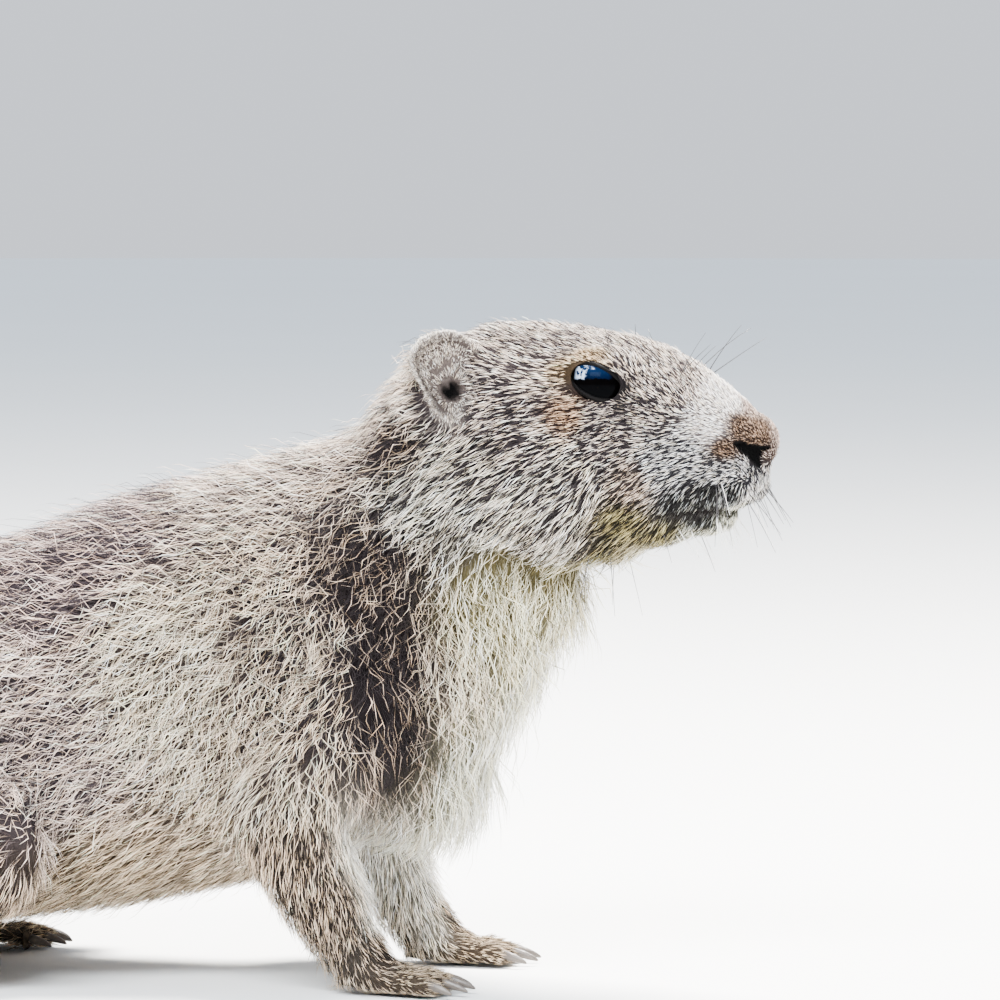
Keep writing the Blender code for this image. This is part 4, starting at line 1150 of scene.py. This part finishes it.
# The whiskers: long, stiff, tapered bristles, dark or white, in rows on the muzzle, over the eye,
# on the chin and under the jaw. Each row is a place on the head, the way they point, their length
# in mm, how many there are, how widely they are set, and the share that is dark.
BRISTLES = (
    ((90, 14, -10), (-1.0, 0.16, -0.06), 30, 8, 4.5, 0.9),
    ((97, 12, -18), (0.30, 0.40, -0.85), 20, 5, 3.0, 0.8),
    ((104, 6, -20), (0.62, 0.10, -0.78), 18, 4, 2.0, 0.8),
    ((95, 5, -29), (0.40, 0.15, -0.95), 11, 7, 3.0, 0.1),
    ((84, 7, -35), (0.45, 0.10, -0.9), 14, 5, 4.0, 0.1),
    ((62, 12, -42), (0.05, 0.10, -1.0), 22, 2, 4.0, 1.0),
    ((66, 13, 22), (-0.28, 0.15, 1.0), 12, 2, 2.0, 1.0),
    ((84, 10, 12), (0.72, 0.20, 0.78), 25, 3, 2.4, 1.0),
    ((42, 33, -26), (-0.6, 0.35, -0.6), 18, 2, 2.5, 1.0),
)
BRISTLE_SEED = 41
BRISTLE_RADIUS = 0.17 * MM
BRISTLE_STEPS = 6
BRISTLE_DARK = (0.012, 0.010, 0.010, 1)
BRISTLE_PALE = (0.80, 0.78, 0.74, 1)


def draw_bristle(bm, root, aim, size, sag):
    """One tapered bristle, and its points."""
    rings = []
    for step in range(BRISTLE_STEPS):
        share = step / BRISTLE_STEPS
        centre = root + aim * size * share + sag * share ** 2
        rings.append(hoop_round(centre, aim, BRISTLE_RADIUS * (1 - 0.8 * share), 4))
    return sleeve(bm, rings)


def grow_bristles():
    """Roots every bristle in the hide on both sides."""
    draw = np.random.default_rng(BRISTLE_SEED)
    tree = BVHTree.FromObject(hide, bpy.context.evaluated_depsgraph_get())
    bm = bmesh.new()
    painted = bm.verts.layers.float_color.new("bristle_tone")
    for place, way, length, count, spread, dark_share in BRISTLES:
        for side in np.repeat(SIDES, count):
            spot = Vector(place) + Vector(draw.normal(0, spread * 0.6, 3))
            way_here = (Vector(way).normalized() + Vector(draw.normal(0, 0.14, 3))).normalized()
            size = length * draw.uniform(0.65, 1.15) * MM
            spot, way_here = (Vector((v.x, v.y * side, v.z)) for v in (spot, way_here))
            root, normal, _, _ = tree.find_nearest(head_place @ (spot * MM))
            aim = head_place.to_3x3() @ way_here
            sag = Vector((0, 0, -1)) * size * draw.uniform(0.04, 0.22)
            tone = BRISTLE_DARK if draw.random() < dark_share else BRISTLE_PALE
            for vert in draw_bristle(bm, root - normal * 0.4 * MM, aim, size, sag):
                vert[painted] = tone
    piece = set_out("whiskers", mesh_from(bm, "whiskers"))
    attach(piece, "root")
    return piece


bristle = Finish("whisker", Roughness=0.4)
bristle_tone = bristle.mix(bristle.noise(800.0) * 0.3, bristle.value("bristle_tone"), (0.05, 0.04, 0.04, 1))
bristle.feed(Base_Color=bristle_tone)
grow_bristles().data.materials.append(bristle.material)

# The claws: curved, blackish horn, four to a forepaw and five to a hind foot, each growing from the
# end of its toe. They are the solids' own claws, rounded.
horn = Finish("claw_horn", Roughness=0.38)
horn.feed(Base_Color=horn.mix(horn.noise(600.0), (0.03, 0.024, 0.02, 1), (0.12, 0.095, 0.075, 1)))
horn.bump(horn.noise(2200.0, 2.0), 0.0002, 0.5)


def claws_of(foot):
    """One foot's claws."""
    bm = bmesh.new()
    nodes = [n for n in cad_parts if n.startswith("claw_" + foot)]
    for name in nodes:
        bm.from_mesh(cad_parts[name].data)
    bmesh.ops.remove_doubles(bm, verts=bm.verts, dist=0.01 * MM)
    piece = set_out("claws_" + foot, mesh_from(bm, "claws_" + foot))
    rounder = piece.modifiers.new("rounder", "SUBSURF")
    rounder.levels = rounder.render_levels = 2
    piece.data.materials.append(horn.material)
    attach(piece, "root")
    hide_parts(*nodes)


for foot in ("forepaw_left", "forepaw_right", "hindfoot_left", "hindfoot_right"):
    claws_of(foot)

# The floor: a plain, pale, matte sheet that the marmot stands on, wide enough to run out of every
# picture. It lies a hair's breadth under the soles.
FLOOR_RADIUS = 9.0
FLOOR_DROP = 0.4 * MM
bm = bmesh.new()
bmesh.ops.create_circle(bm, segments=96, radius=FLOOR_RADIUS, cap_ends=True)
bmesh.ops.translate(bm, verts=bm.verts, vec=(0, 0, -FLOOR_DROP))
floor = set_out("floor", mesh_from(bm, "floor"))
plaster = Finish("floor", Roughness=0.85)
plaster.feed(Base_Color=plaster.mix(plaster.noise(3.0), (0.80, 0.80, 0.79, 1), (0.83, 0.83, 0.82, 1)))
floor.data.materials.append(plaster.material)

# The light: a pale room that brightens towards its ceiling, with a broad soft lamp overhead and a
# weaker, cooler one on the marmot's right.
HORIZON = (1.02, 1.08, 1.19, 1)
CEILING = (1.25, 1.50, 1.80, 1)
room = bpy.data.worlds.new("room")
bpy.context.scene.world = room
room.use_nodes = True
upward = Sock(room.node_tree, None).node("ShaderNodeTexCoord")
height = upward.node("ShaderNodeSeparateXYZ", None, 2, _0=upward).maths("MAXIMUM", 0.0)
tint = height.node("ShaderNodeMix", {"data_type": "RGBA"}, 2, _0=height, _6=HORIZON, _7=CEILING)
room.node_tree.links.new(tint.link, room.node_tree.nodes["Background"].inputs["Color"])


def softbox(name, place, aim, size, power, colour):
    """A lamp that shines from a rectangle, turned towards what it lights."""
    lamp = bpy.data.lights.new(name, "AREA")
    lamp.shape = "RECTANGLE"
    lamp.size, lamp.size_y = size
    lamp.energy = power
    lamp.color = colour
    holder = bpy.data.objects.new(name, lamp)
    bpy.context.scene.collection.objects.link(holder)
    holder.location = place
    holder.rotation_euler = (Vector(aim) - Vector(place)).to_track_quat("-Z", "Y").to_euler()


softbox("overhead", (0.5, 0.5, 2.1), (0.1, 0, 0.1), (0.8, 0.8), 540, (1.0, 0.96, 0.91))
softbox("right_side", (0.0, -1.8, 1.45), (0.15, 0, 0.15), (1.5, 0.6), 200, (0.92, 0.96, 1.0))

# The camera: about level with the marmot's shoulder, with a long lens, looking at its right side from
# a little in front, framed so that the rump runs out of the picture.
CAMERA_TURN = math.radians(10)
CAMERA_RISE = math.radians(3)
CAMERA_DISTANCE = 2.417
# Where it aims, from the withers in mm: to the picture's right, towards the camera and up
CAMERA_AIM = (58, 20, 140.6)
LENS = 300
SENSOR = 36
FAR_END = 60
upright = Vector((0, 0, 1))
level = Vector((math.sin(CAMERA_TURN), -math.cos(CAMERA_TURN), 0))
rightward = upright.cross(level)
away = level * math.cos(CAMERA_RISE) + upright * math.sin(CAMERA_RISE)
aim = WITHERS + (rightward * CAMERA_AIM[0] + level * CAMERA_AIM[1] + upright * CAMERA_AIM[2]) * MM
lens = bpy.data.cameras.new("camera")
lens.lens = LENS
lens.sensor_width = SENSOR
lens.clip_end = FAR_END
camera = bpy.data.objects.new("camera", lens)
bpy.context.scene.collection.objects.link(camera)
camera.location = aim + away * CAMERA_DISTANCE
camera.rotation_euler = (-away).to_track_quat("-Z", "Y").to_euler()
bpy.context.scene.camera = camera

bpy.context.view_layer.update()
